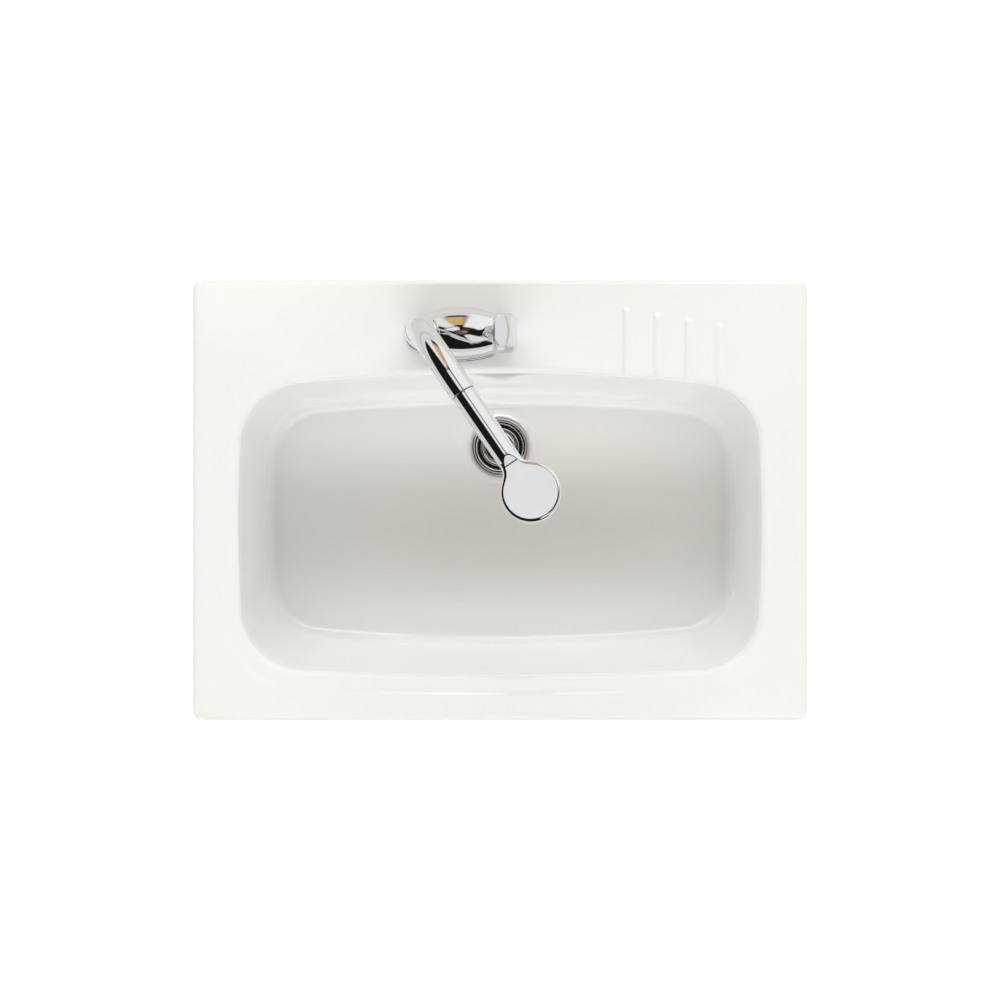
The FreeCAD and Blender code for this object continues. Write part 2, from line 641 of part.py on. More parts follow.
def tap_body():
    column = rod(COLUMN_R, COLUMN_TOP_Z - COLUMN_BASE_Z, V(COLUMN_X, 0, COLUMN_BASE_Z))
    shank = rod(BODY_SHANK_R, BODY_SHANK_DROP + BODY_FOOT_HEIGHT, DOWN * BODY_SHANK_DROP)
    body = fuse([body_egg(), body_plan(0, GASKET_THICKNESS, BODY_AXIS_Z),
                 body_plan(BODY_FOOT_GROW, GASKET_THICKNESS, GASKET_THICKNESS + BODY_FOOT_HEIGHT),
                 column, shank])
    chamber = rod(CHAMBER_R, BODY_END_X - CHAMBER_FLOOR_X, axis_place(CHAMBER_FLOOR_X), RIGHT)
    nut_seat = rod(NUT_SEAT_R, BODY_END_X - HOUSING_FRONT_X, axis_place(HOUSING_FRONT_X), RIGHT)
    column_bore = rod(COLUMN_BORE_R, COLUMN_TOP_Z - COLUMN_BORE_FLOOR,
                      V(COLUMN_X, 0, COLUMN_BORE_FLOOR))
    water_way = rod(WATER_WAY_R, CHAMBER_FLOOR_X - COLUMN_X, axis_place(COLUMN_X), RIGHT)
    stud_hole = rod(STUD_R, STUD_TOP + BODY_SHANK_DROP, V(STUD_X, 0, -BODY_SHANK_DROP))
    body = body.cut(chamber).cut(nut_seat).cut(column_bore).cut(water_way).cut(stud_hole)
    for side in (-1, 1):
        foot = V(INLET_X, side * INLET_Y, -BODY_SHANK_DROP)
        mouth = V(INLET_X, side * INLET_Y, INLET_MOUTH_Z)
        body = body.cut(rod(INLET_WAY_R, INLET_MOUTH_Z + BODY_SHANK_DROP, foot))
        body = body.cut(rod(INLET_R, INLET_LENGTH, mouth))
        body = body.cut(rod(INLET_CHANNEL_R, CHANNEL_TOP - INLET_MOUTH_Z, mouth))
    return body


def tap_base_gasket():
    return body_plan(BODY_FOOT_GROW - GASKET_INSET, 0, GASKET_THICKNESS).cut(
        rod(BODY_SHANK_R, GASKET_THICKNESS, V()))


def tap_fixing_stud():
    return rod(STUD_R, STUD_TOP - STUD_BOTTOM, V(STUD_X, 0, STUD_BOTTOM))


def clamp(top, thickness):
    """Horseshoe that leaves the way to the inlets open."""
    low = top - thickness
    slot = block(V(CLAMP_SLOT_X, -CLAMP_SLOT_HALF, low), V(CLAMP_R, CLAMP_SLOT_HALF, top))
    stud_hole = rod(STUD_R + STUD_CLEARANCE, thickness, V(STUD_X, 0, low))
    return rod(CLAMP_R, thickness, UP * low).cut(slot).cut(stud_hole)


def tap_fixing_rubber():
    return clamp(-DECK_THICKNESS, CLAMP_RUBBER_THICKNESS)


def tap_fixing_plate():
    return clamp(-DECK_THICKNESS - CLAMP_RUBBER_THICKNESS, CLAMP_PLATE_THICKNESS)


def tap_fixing_nut():
    top = -DECK_THICKNESS - CLAMP_RUBBER_THICKNESS - CLAMP_PLATE_THICKNESS
    base = V(STUD_X, 0, top - FIXING_NUT_HEIGHT)
    return hexagon(FIXING_NUT_FLATS, FIXING_NUT_HEIGHT, base).cut(rod(STUD_R, FIXING_NUT_HEIGHT, base))


# Cartridge
def ports(x, length):
    """Hot and cold ports side by side and the mixed outlet above them."""
    places = ((-PORT_OFFSET, -PORT_OFFSET / 2), (PORT_OFFSET, -PORT_OFFSET / 2), (0, PORT_OFFSET))
    return Part.makeCompound([rod(PORT_R, length, axis_place(x) + V(0, y, z), RIGHT)
                              for y, z in places])


def cartridge_base_seal():
    seal = rod(CHAMBER_R, BASE_SEAL_THICKNESS, axis_place(CHAMBER_FLOOR_X), RIGHT)
    return seal.cut(ports(CHAMBER_FLOOR_X, BASE_SEAL_THICKNESS))


def cartridge_housing():
    case = rod(HOUSING_R, HOUSING_LENGTH, axis_place(HOUSING_X), RIGHT)
    bore = rod(HOUSING_BORE_R, HOUSING_LENGTH - 2 * HOUSING_END, axis_place(FIXED_DISC_X), RIGHT)
    mouth = rod(HOUSING_LIP_R, HOUSING_LENGTH - HOUSING_END, axis_place(FIXED_DISC_X), RIGHT)
    return case.cut(bore).cut(mouth).cut(ports(HOUSING_X, HOUSING_END))


def cartridge_fixed_disc():
    return rod(DISC_R, DISC_THICKNESS, axis_place(FIXED_DISC_X), RIGHT).cut(
        ports(FIXED_DISC_X, DISC_THICKNESS))


def cartridge_moving_disc():
    pocket = rod(MIXING_POCKET_R, MIXING_POCKET_DEPTH, axis_place(MOVING_DISC_X), RIGHT)
    return rod(MOVING_DISC_R, DISC_THICKNESS, axis_place(MOVING_DISC_X), RIGHT).cut(pocket)


def cartridge_disc_carrier():
    mouth_x = CARRIER_X + CARRIER_LENGTH
    socket = rod(CARRIER_SOCKET_R, CARRIER_SOCKET_DEPTH, axis_place(mouth_x - CARRIER_SOCKET_DEPTH), RIGHT)
    return rod(MOVING_DISC_R, CARRIER_LENGTH, axis_place(CARRIER_X), RIGHT).cut(socket)


def pivot_pin(radius):
    return rod(radius, PIN_LENGTH, PIVOT - BACK * PIN_LENGTH / 2, BACK)


def cartridge_rotor():
    end_x = ROTOR_SHOULDER_X + ROTOR_NECK_LENGTH
    drum = rod(DISC_R, ROTOR_SHOULDER_X - ROTOR_X, axis_place(ROTOR_X), RIGHT)
    neck = rod(ROTOR_NECK_R, end_x - ROTOR_SHOULDER_X, axis_place(ROTOR_SHOULDER_X), RIGHT)
    slot = block(axis_place(ROTOR_X) - V(0, ROTOR_SLOT_HALF_Y, ROTOR_SLOT_HALF_Z),
                 axis_place(end_x) + V(0, ROTOR_SLOT_HALF_Y, ROTOR_SLOT_HALF_Z))
    return fuse([drum, neck]).cut(slot).cut(pivot_pin(PIN_R))


def cartridge_stem():
    half = STEM_SIZE / 2
    bar = block(PIVOT - V(STEM_TAIL, half, half), PIVOT + V(STEM_REACH, half, half))
    bar = bar.cut(pivot_pin(PIN_R + PIN_CLEARANCE))
    neck = rod(STEM_NECK_R, STEM_ARM - STEM_TAIL, PIVOT - RIGHT * STEM_ARM, RIGHT)
    ball = Part.makeSphere(STEM_BALL_R, PIVOT - RIGHT * STEM_ARM, RIGHT)
    return fuse([bar, neck, ball])


def cartridge_dome_nut():
    ring = tube(NUT_R, NUT_BORE_R, BODY_END_X - HOUSING_FRONT_X, axis_place(HOUSING_FRONT_X), RIGHT)
    shell = Part.makeSphere(DOME_R, PIVOT).cut(Part.makeSphere(DOME_R - DOME_WALL, PIVOT))
    zone = rod(DOME_R, PIVOT.x + DOME_REACH - BODY_END_X, axis_place(BODY_END_X), RIGHT)
    mouth = rod(DOME_MOUTH_R, DOME_REACH, PIVOT, RIGHT)
    return fuse([ring, shell.common(zone).cut(mouth)])


# Lever: a cap over the dome with a broad fin that leans in over the body
def lever_cap():
    top_x = BODY_END_X + CAP_TOP_GAP
    bottom_x = BODY_END_X + CAP_BOTTOM_GAP
    drum = rod(CAP_R, CAP_END_X - BODY_END_X, axis_place(BODY_END_X), RIGHT)
    end = [edge for edge in drum.Edges if edge.BoundBox.XMin > CAP_END_X - 1e-4]
    drum = drum.makeFillet(CAP_END_ROUND, end)
    keep = side_prism([(top_x, BODY_AXIS_Z + CAP_R), (CAP_END_X, BODY_AXIS_Z + CAP_R),
                       (CAP_END_X, BODY_AXIS_Z - CAP_R), (bottom_x, BODY_AXIS_Z - CAP_R)], CAP_R)
    return drum.common(keep)


def upper_edges(shape, rise):
    return [edge for edge in shape.Edges if edge.BoundBox.Center.z > BODY_AXIS_Z + rise]


def lever_fin():
    profile = [(FIN_TIP_X, FIN_CREST_RISE - FIN_TIP_DROP), (FIN_CREST_X, FIN_CREST_RISE),
               (FIN_OUTER_X, FIN_OUTER_RISE), (CAP_END_X - CAP_END_ROUND, FIN_ROOT_RISE),
               (FIN_INNER_X, FIN_ROOT_RISE), (FIN_INNER_X, CAP_R)]
    fin = side_prism([(x, BODY_AXIS_Z + rise) for x, rise in profile], FIN_HALF_WIDTH)
    tip = [edge for edge in fin.Edges if edge.BoundBox.YLength < 1e-6 and edge.BoundBox.XMax < FIN_CREST_X + 1e-4]
    fin = fin.makeFillet(FIN_TIP_CORNER_R, tip)
    bulge_r = (FIN_HALF_WIDTH ** 2 + FIN_TIP_BULGE ** 2) / (2 * FIN_TIP_BULGE)
    bulge = rod(bulge_r, 2 * FIN_CREST_RISE, V(FIN_TIP_X + bulge_r, 0, BODY_AXIS_Z))
    return fin.common(bulge)


def lever_handle():
    lever = fuse([lever_cap(), lever_fin()])
    lever = lever.makeFillet(FIN_EDGE_R, upper_edges(lever, FIN_OUTER_RISE + FIN_EDGE_R))
    half = STEM_SIZE / 2 + STEM_SOCKET_CLEARANCE
    socket = block(PIVOT - V(0, half, half), V(STEM_SOCKET_END, half, BODY_AXIS_Z + half))
    grub_hole = rod(GRUB_R, CAP_R, V(GRUB_X, 0, BODY_AXIS_Z - CAP_R))
    plug_hole = rod(PLUG_R, PLUG_THICKNESS, V(GRUB_X, 0, BODY_AXIS_Z - CAP_R))
    return lever.cut(Part.makeSphere(CAP_CAVITY_R, PIVOT)).cut(socket).cut(grub_hole).cut(plug_hole)


def lever_grub_screw():
    return rod(GRUB_R, GRUB_LENGTH, V(GRUB_X, 0, BODY_AXIS_Z - STEM_SIZE / 2 - GRUB_LENGTH))


def lever_screw_plug():
    return rod(PLUG_R, PLUG_THICKNESS, V(GRUB_X, 0, BODY_AXIS_Z - CAP_R)).common(lever_cap())


# Swivelling spout, about the column's axis
def spout_upper_bush():
    return tube(COLUMN_BORE_R, NECK_BORE_R + SWIVEL_CLEARANCE, BUSH_LENGTH, UP * UPPER_BUSH_Z)


def spout_lower_bush():
    return tube(COLUMN_BORE_R, NECK_BORE_R + SWIVEL_CLEARANCE, BUSH_LENGTH, UP * LOWER_BUSH_Z)


def spout_o_rings():
    inner_r = NECK_BORE_R + SWIVEL_CLEARANCE
    cord_r = (COLUMN_BORE_R - inner_r) / 2
    return Part.makeCompound([Part.makeTorus(inner_r + cord_r, cord_r, UP * height)
                              for height in O_RING_HEIGHTS])


def spout_wear_ring():
    return tube(COLUMN_R - WEAR_RING_INSET, NECK_BORE_R + WEAR_RING_INSET, WEAR_RING_THICKNESS,
                UP * COLUMN_TOP_Z)


def spout_spigot():
    groove = tube(NECK_BORE_R, CLIP_GROOVE_R, CLIP_THICKNESS, UP * CLIP_Z)
    return tube(NECK_BORE_R, SPIGOT_BORE_R, SPIGOT_TOP - SPIGOT_BOTTOM, UP * SPIGOT_BOTTOM).cut(groove)


def spout_retaining_ring():
    return tube(CLIP_R, CLIP_GROOVE_R, CLIP_THICKNESS, UP * CLIP_Z)


def neck_form(radius):
    """Round bar along the neck: up, over the bend and out to the seam."""
    upright = rod(radius, NECK_STRAIGHT, UP * NECK_BASE_Z)
    section = Part.Face(Part.Wire(Part.makeCircle(radius, UP * BEND_START_Z, UP)))
    bend = section.revolve(V(BEND_R, 0, BEND_START_Z), BACK, 90 - SPOUT_RISE)
    dock = rod(radius, DOCK_LENGTH, BEND_END, SPOUT_AXIS)
    return fuse([upright, bend, dock])


def spout_neck():
    collar = rod(COLUMN_R, NECK_COLLAR_HEIGHT, UP * NECK_BASE_Z)
    return fuse([neck_form(NECK_R), collar]).cut(neck_form(NECK_BORE_R))


# Handset, along its own axis from the seam
def spout_dock_bush():
    return tube(NECK_BORE_R, SHANK_R + DOCK_CLEARANCE, DOCK_BUSH_LENGTH, RIGHT * -DOCK_BUSH_LENGTH, RIGHT)


def handset_shank():
    return tube(SHANK_R, SHANK_BORE_R, SHANK_INSIDE_NECK + SHANK_INSIDE_SHELL,
                RIGHT * -SHANK_INSIDE_NECK, RIGHT)


def handset_check_valve():
    return tube(SHANK_BORE_R, VALVE_BORE_R, VALVE_LENGTH, RIGHT * VALVE_START, RIGHT)


def head_blend():
    """Web that flows from the handle into the round head."""
    reach = math.sqrt((HEAD_R + WEB_BLEND_R) ** 2 - (WEB_ROOT_HALF + WEB_BLEND_R) ** 2)
    centre = V(HEAD_X - reach, WEB_ROOT_HALF + WEB_BLEND_R, 0)
    start = centre + V(0, -WEB_BLEND_R, 0)
    head_centre = V(HEAD_X, 0, 0)
    end = head_centre + unit(centre - head_centre) * HEAD_R
    middle = centre + unit((start - centre) + (end - centre)) * WEB_BLEND_R

    def mirror(point):
        return V(point.x, -point.y, 0)

    face = Part.Face(Part.Wire([arc(start, middle, end), line(end, mirror(end)),
                                arc(mirror(end), mirror(middle), mirror(start)),
                                line(mirror(start), start)]))
    web = face.extrude(V(0, 0, WEB_TOP - WEB_BOTTOM))
    web.translate(V(0, 0, WEB_BOTTOM))
    return web


def handle_bevel(level):
    """Wedge that slopes the handle's end to the web's top or bottom."""
    outside = math.copysign(HANDLE_ROOT_R, level)
    return side_prism([(HANDLE_BEVEL_START, outside), (HANDLE_BEVEL_END, level),
                       (HANDLE_LENGTH, level), (HANDLE_LENGTH, outside)], HANDLE_ROOT_R)


def handset_shell():
    handle = Part.makeCone(HANDLE_ROOT_R, HANDLE_TIP_R, HANDLE_LENGTH - SEAM_GAP, RIGHT * SEAM_GAP, RIGHT)
    handle = handle.cut(handle_bevel(WEB_TOP)).cut(handle_bevel(WEB_BOTTOM))
    head = rod(HEAD_R, HEAD_TOP - HEAD_BOTTOM, V(HEAD_X, 0, HEAD_BOTTOM))
    head = head.makeFillet(HEAD_EDGE_R, level_edges(head, HEAD_TOP) + level_edges(head, HEAD_BOTTOM))
    shell = fuse([handle, head, head_blend()])
    socket = rod(SHANK_R, SHANK_INSIDE_SHELL - SEAM_GAP, RIGHT * SEAM_GAP, RIGHT)
    water_way = rod(SHANK_BORE_R, HEAD_X - SEAM_GAP, RIGHT * SEAM_GAP, RIGHT)
    chamber = rod(SPRAY_CHAMBER_R, CHAMBER_TOP - HEAD_BOTTOM, V(HEAD_X, 0, HEAD_BOTTOM))
    plate_seat = rod(SPRAY_PLATE_R, SPRAY_PLATE_THICKNESS, V(HEAD_X, 0, HEAD_BOTTOM))
    return shell.cut(socket).cut(water_way).cut(chamber).cut(plate_seat)


def nozzles(radius, low, high):
    """Rings of small round pins over the spray face."""
    pins = []
    for ring_r, count in zip(NOZZLE_RING_RADII, NOZZLE_RING_COUNTS):
        for index in range(count):
            angle = 2 * math.pi * index / count
            pins.append(rod(radius, high - low, V(HEAD_X + ring_r * math.cos(angle),
                                                  ring_r * math.sin(angle), low)))
    return pins


def spray_plate():
    plate = tube(SPRAY_PLATE_R, AERATOR_R, SPRAY_PLATE_THICKNESS, V(HEAD_X, 0, HEAD_BOTTOM))
    return plate.cut(Part.makeCompound(nozzles(NOZZLE_R, HEAD_BOTTOM, SPRAY_PLATE_TOP)))


def spray_nozzle_mat():
    mat = tube(MAT_R, AERATOR_R, MAT_THICKNESS, V(HEAD_X, 0, SPRAY_PLATE_TOP))
    return fuse([mat] + nozzles(NOZZLE_R, HEAD_BOTTOM - NOZZLE_PROUD, SPRAY_PLATE_TOP))


def spray_aerator():
    low = HEAD_BOTTOM - AERATOR_PROUD
    body = rod(AERATOR_R, AERATOR_TOP - low, V(HEAD_X, 0, low))
    steps = (-2, -1, 0, 1, 2)
    places = [(i * AERATOR_HOLE_PITCH, j * AERATOR_HOLE_PITCH) for i in steps for j in steps]
    reach = AERATOR_R - 2 * AERATOR_HOLE_R
    holes = [rod(AERATOR_HOLE_R, AERATOR_TOP - low, V(HEAD_X + x, y, low))
             for x, y in places if math.hypot(x, y) < reach]
    return body.cut(Part.makeCompound(holes))


# Placing: each group is built in its own frame and moved to its place on the sink
def on_waste(shape):
    shape.translate(WASTE_PLACE)
    return shape


def on_tap(shape):
    shape.translate(TAP_PLACE)
    return shape


def on_column(shape):
    shape.rotate(V(), UP, SPOUT_HEADING)
    shape.translate(V(COLUMN_X, 0, 0))
    return on_tap(shape)


def on_seam(shape):
    shape.rotate(V(), BACK, -SPOUT_RISE)
    shape.translate(SEAM)
    return on_column(shape)


def in_place(shape):
    return shape


GROUPS = (
    (in_place, (sink_basin,)),
    (on_waste, (waste_body, waste_upper_seal, waste_lower_seal, waste_slip_washer, waste_backnut,
                stopper_cap, stopper_seal, stopper_guide)),
    (on_tap, (tap_body, tap_base_gasket, tap_fixing_stud, tap_fixing_rubber, tap_fixing_plate,
              tap_fixing_nut, cartridge_base_seal, cartridge_housing, cartridge_fixed_disc,
              cartridge_moving_disc, cartridge_disc_carrier, cartridge_rotor, cartridge_stem,
              cartridge_dome_nut, lever_handle, lever_grub_screw, lever_screw_plug)),
    (on_column, (spout_upper_bush, spout_lower_bush, spout_o_rings, spout_wear_ring, spout_spigot,
                 spout_retaining_ring, spout_neck)),
    (on_seam, (spout_dock_bush, handset_shank, handset_check_valve, handset_shell, spray_plate,
               spray_nozzle_mat, spray_aerator)),
)

os.makedirs("parts", exist_ok=True)
for place, makers in GROUPS:
    for maker in makers:
        place(maker()).exportStep(f"parts/{maker.__name__}.step")
on_tap(pivot_pin(PIN_R)).exportStep("parts/cartridge_pin.step")
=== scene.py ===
import itertools
import json
import math

import bpy
import numpy as np
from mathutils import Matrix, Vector


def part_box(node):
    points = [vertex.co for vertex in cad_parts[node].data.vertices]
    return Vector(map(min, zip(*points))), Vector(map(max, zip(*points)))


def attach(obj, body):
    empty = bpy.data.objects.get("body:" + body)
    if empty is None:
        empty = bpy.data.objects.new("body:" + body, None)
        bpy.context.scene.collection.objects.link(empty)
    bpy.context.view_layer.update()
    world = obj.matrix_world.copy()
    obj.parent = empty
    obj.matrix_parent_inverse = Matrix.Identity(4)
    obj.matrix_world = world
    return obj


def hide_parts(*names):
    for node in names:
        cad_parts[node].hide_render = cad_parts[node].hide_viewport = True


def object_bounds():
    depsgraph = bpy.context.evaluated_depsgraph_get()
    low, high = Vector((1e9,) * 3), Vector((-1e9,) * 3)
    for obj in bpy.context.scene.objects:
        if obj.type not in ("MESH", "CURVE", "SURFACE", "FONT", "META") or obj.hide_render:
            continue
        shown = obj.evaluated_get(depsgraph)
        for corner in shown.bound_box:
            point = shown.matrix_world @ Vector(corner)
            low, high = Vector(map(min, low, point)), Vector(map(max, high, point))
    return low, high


# Ceramic kitchen sink with a pull-out mixer tap. Shapes are worked out in millimetres
# and turned into metres when a mesh is made.
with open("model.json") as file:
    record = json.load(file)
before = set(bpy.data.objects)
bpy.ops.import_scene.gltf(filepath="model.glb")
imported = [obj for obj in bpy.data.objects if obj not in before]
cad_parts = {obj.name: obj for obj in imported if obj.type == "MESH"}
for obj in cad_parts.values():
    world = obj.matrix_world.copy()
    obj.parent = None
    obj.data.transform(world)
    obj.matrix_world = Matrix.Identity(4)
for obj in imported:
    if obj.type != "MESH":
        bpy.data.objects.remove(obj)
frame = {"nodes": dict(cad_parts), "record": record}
cad_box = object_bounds()
MM = 0.001

# Ceramic sizes, as in the solids. Only the rounding between bowl floor and wall is tighter here.
HALF_X, HALF_Y = 300.0, 215.0
DECK_Z = 42.0
RIM_CORNER_R, RIM_EDGE_R = 9.0, 5.0
SKIRT_WALL, DECK_UNDER_Z, UNDER_CORNER_R = 14.0, 29.0, 5.0
FOOT_CUT, FOOT_EDGE = 1.4, 0.4
MOUTH = dict(half=256.0, back=124.4, front=-171.3, bows=(8.0, 17.5, 8.0), corner_r=60.0)
FLOOR = dict(half=246.0, back=108.4, front=-150.3, bows=(8.0, 15.0, 16.0), corner_r=58.0)
MOUTH_EDGE_R, FLOOR_EDGE_R = 7.0, 13.0
BOWL_WALL, UNDER_EDGE_R, WALL_ROOT_R, WALL_OVERRUN = 12.0, 36.0, 6.0, 8.0
FLOOR_Z, FLOOR_FALL = -138.0, math.radians(1.2)
LEVEL_R, FALL_R = 26, 50
WASTE_Y, WASTE_HOLE_R = 56.0, 23.0
DISH_R, DISH_SLOPE, DISH_EASE, DISH_MARGIN, DISH_SHARE = 38.0, 0.6, 3.0, 10.0, 0.8
BOSS_R, BOSS_LOW, BOSS_FLARE, BOSS_EDGE, SEAL_FACE_R = 44.0, 18.0, 2.0, 0.8, 32.0
LIP_DEPTH, LIP_FADE_Y, LIP_FRONT_Y, LIP_POWER = 3.0, -107.3, -189.3, 1.3
LIP_FLAT, LIP_STEP = 14.5, (15.0, 20.8)
RIB_X, RIB_BACK_Y, RIB_HEIGHT, RIB_R = 123.7, 183.0, 2.0, 5.0
RIB_PITCH, RIB_STAGGER, RIB_COUNT = 30.3, 5.0, 4
RIB_EASE, RIB_FOOT_R, RIB_RISE_POWER = 0.4, 7.5, 1.5
TAP_HOLE_R, TAP_HOLE_LOW, TAP_HOLE_HIGH = 17.5, -30.0, 12.0
TUBE_POINTS = 96

# How finely the basin is divided: points along each arc of its outline, and levels or distances of its rings
PLAIN_BACK_POINTS, RIBBED_BACK_POINTS, BACK_CORNER_POINTS = 26, 220, 120
SIDE_POINTS, FRONT_CORNER_POINTS, FRONT_POINTS = 36, 60, 44
RIM_CORNER_POINTS, RIM_CORNER_SHARE = 26, 0.06
DISH_RINGS, FLOOR_RINGS, WALL_RINGS, DECK_RINGS = 14, 12, 8, 45
FILLET_RINGS, MOUTH_EDGE_RINGS, RIM_EDGE_RINGS, SMALL_EDGE_RINGS = 15, 12, 9, 6
LIP_RINGS = (15.4, 16.2, 17.0, 17.6, 18.2, 18.8, 19.6, 20.4, 21.4)
SKIRT_LEVELS = (30.0, 18.0, 8.0, 2.0, 1.2)
INSIDE_LEVELS = (FOOT_CUT, 12.0, DECK_UNDER_Z - UNDER_CORNER_R)

# Tap sizes, as in the solids
X_AXIS, Z_AXIS = 0, 2
TAP = np.array((-46.0, 161.0, 42.0))
COLUMN_X, COLUMN_R, COLUMN_LOW, COLUMN_TOP, COLUMN_BORE_R = -30.5, 13.5, 30.0, 58.0, 11.95
TAIL_R, FLANK_R, HALF_WIDTH, BODY_END, BODY_LOW, AXIS_Z = 14.5, 90.0, 25.0, 40.5, 1.5, 27.0
FLANK_X = COLUMN_X + math.sqrt((HALF_WIDTH - TAIL_R) * (2 * FLANK_R - TAIL_R - HALF_WIDTH))
FLANK_Y = HALF_WIDTH - FLANK_R
FOOT_FLARE, FOOT_MIDDLE, FOOT_HALF = 1.5, 3.0, 1.5

# Round bars and bores of the tap: centre, axis, radius, and both ends along the axis
TAP_SPIGOT = ((0, 0, 0), Z_AXIS, 16.0, -8.0, 3.0)
CARTRIDGE_BORE = ((0, 0, AXIS_Z), X_AXIS, 14.3, 2.0, 50.0)
CARTRIDGE_MOUTH = ((0, 0, AXIS_Z), X_AXIS, 16.0, 34.0, 50.0)
SWIVEL_BORE = ((COLUMN_X, 0, 0), Z_AXIS, COLUMN_BORE_R, 16.5, 70.0)
STUD_BORE = ((-9.5, 0, 0), Z_AXIS, 4.0, -20.0, 12.0)
INLET_X, INLET_Y = 6.0, 8.0
TAP_BORES = [CARTRIDGE_BORE, CARTRIDGE_MOUTH, SWIVEL_BORE, STUD_BORE]
for inlet_y in (-INLET_Y, INLET_Y):
    TAP_BORES.append(((INLET_X, inlet_y, 0), Z_AXIS, 4.6, -20.0, 2.5))
    TAP_BORES.append(((INLET_X, inlet_y, 0), Z_AXIS, 4.0, 0.0, 12.5))

# Lever: a round hub, and on it a paddle given by its corners seen from the front. Its crown is only here.
CAP_R = FLANK_Y + math.sqrt(FLANK_R ** 2 - (BODY_END - FLANK_X) ** 2) + 0.2
HUB_END, HUB_EDGE_R, HUB_TOP_X, HUB_LEAN = 62.5, 7.0, 41.2, 7.4
PADDLE_CORNERS = [(40.4, 44.4), (61.0, 22.8), (56.0, 6.0), (53.0, 6.0), (54.0, CAP_R + 1.0)]
PADDLE_ROUND, PADDLE_LEFT, PADDLE_RIGHT, PADDLE_HALF, PADDLE_CORNER_R = 2.0, 40.0, 63.5, 15.5, 5.0
CROWN_X, CROWN_Z, CROWN_R = 8.7, -6.4, 60.0
LEFT_EDGE_X, LEFT_EDGE_R = 38.5, 21.0
PIVOT, PIVOT_CLEAR_R = np.array((32.0, 0.0, AXIS_Z)), 19.0
SOCKET_HALF, SOCKET_END = 3.05, 60.0
GRUB_BORE = ((57.5, 0, AXIS_Z), Z_AXIS, 2.75, -25.0, 2.0 - CAP_R)

# Neck and handset
HEADING, RISE = math.radians(-55.8), math.radians(9.0)
NECK_R, NECK_BORE_R, NECK_BASE, NECK_STRAIGHT, DOCK, SEAM_REACH = 12.5, 10.0, 59.0, 12.0, 22.0, 76.5
BEND_R = (SEAM_REACH - DOCK * math.cos(RISE)) / (1 - math.sin(RISE))
BEND_Z = NECK_BASE + NECK_STRAIGHT
BEND_LENGTH = (math.pi / 2 - RISE) * BEND_R
NECK_LENGTH = NECK_STRAIGHT + BEND_LENGTH + DOCK
SEAM = np.array((BEND_R * (1 - math.sin(RISE)) + DOCK * math.cos(RISE), 0.0,
                 BEND_Z + BEND_R * math.cos(RISE) + DOCK * math.sin(RISE)))
HEAD_X, HEAD_R, HEAD_TOP, HEAD_BOTTOM, HEAD_EDGE_R = 111.6, 28.0, 8.0, -7.0, 3.5
HANDLE_ROOT_R, HANDLE_TIP_R, HANDLE_LENGTH, HANDLE_OVERRUN, SEAM_GAP = 11.3, 10.8, 84.0, 6.0, 0.4
BEVEL_START, BEVEL_END, WEB_START, WEB_HALF, WEB_BLEND = 70.0, 80.0, 74.0, 10.0, 9.0
SHANK_BORE = ((0, 0, 0), X_AXIS, 7.5, -5.0, 14.0)
WATER_BORE = ((0, 0, 0), X_AXIS, 4.5, -5.0, HEAD_X)
PLATE_BORE = ((HEAD_X, 0, 0), Z_AXIS, 24.0, -20.0, -4.0)
CHAMBER_BORE = ((HEAD_X, 0, 0), Z_AXIS, 22.5, -20.0, 4.5)

# Waste, stopper and fixing
TAIL_THREAD_R, TAIL_THREAD_Z, TAIL_PITCH, TAIL_THREAD_DEPTH = (20.9, 21.0), (-35.8, -18.0), 2.3, 0.75
GRID_HALF, GRID_Z, GRID_RISE, GRID_REACH = 1.5, -32.0, 2.0, 18.4
CONE_R, CONE_RUN, CONE_LOW, CONE_RISE = 15.6, 12.4, -3.4, 1.6
NUT_CORNER_SHARE, NUT_MARGIN = 1.02, 0.6
STUD_R, STUD_TIP_R, STUD_CUT, STUD_PITCH, STUD_THREAD_DEPTH = 4.0, 3.3, 0.7, 1.25, 0.55
AXIS_GAP = 0.6


def turn_z(points, angle):
    c, s = math.cos(angle), math.sin(angle)
    return points @ np.array(((c, s, 0), (-s, c, 0), (0, 0, 1)))


def turn_y(points, angle):
    c, s = math.cos(angle), math.sin(angle)
    return points @ np.array(((c, 0, -s), (0, 1, 0), (s, 0, c)))


def on_tap(points):
    return points + TAP


def on_column(points):
    return on_tap(turn_z(points, HEADING) + np.array((COLUMN_X, 0, 0)))


def on_seam(points):
    return on_column(turn_y(points, -RISE) + SEAM)


def on_waste(points):
    return points + np.array((0, WASTE_Y, FLOOR_Z))


# Making objects
def new_object(name, verts, faces, place=None, normals=None):
    verts = np.asarray(verts, float)
    if place:
        verts = place(verts)
    mesh = bpy.data.meshes.new(name)
    mesh.from_pydata((verts * MM).tolist(), [], [tuple(int(i) for i in f) for f in faces])
    mesh.polygons.foreach_set("use_smooth", [True] * len(mesh.polygons))
    mesh.update()
    if normals is not None:
        turned_normals = place(normals) - place(np.zeros((1, 3)))
        mesh.normals_split_custom_set_from_vertices(turned_normals.tolist())
    obj = bpy.data.objects.new(name, mesh)
    bpy.context.scene.collection.objects.link(obj)
    return obj


def piece(obj, body, slot, *nodes):
    """Makes an object a piece of the part, with its slot's finish where it has none yet."""
    if not obj.data.materials:
        obj.data.materials.append(finishes[slot])
    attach(obj, body)
    if nodes:
        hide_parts(*nodes)


def full_circle(count):
    return np.linspace(0, 2 * math.pi, count + 1)[:-1]


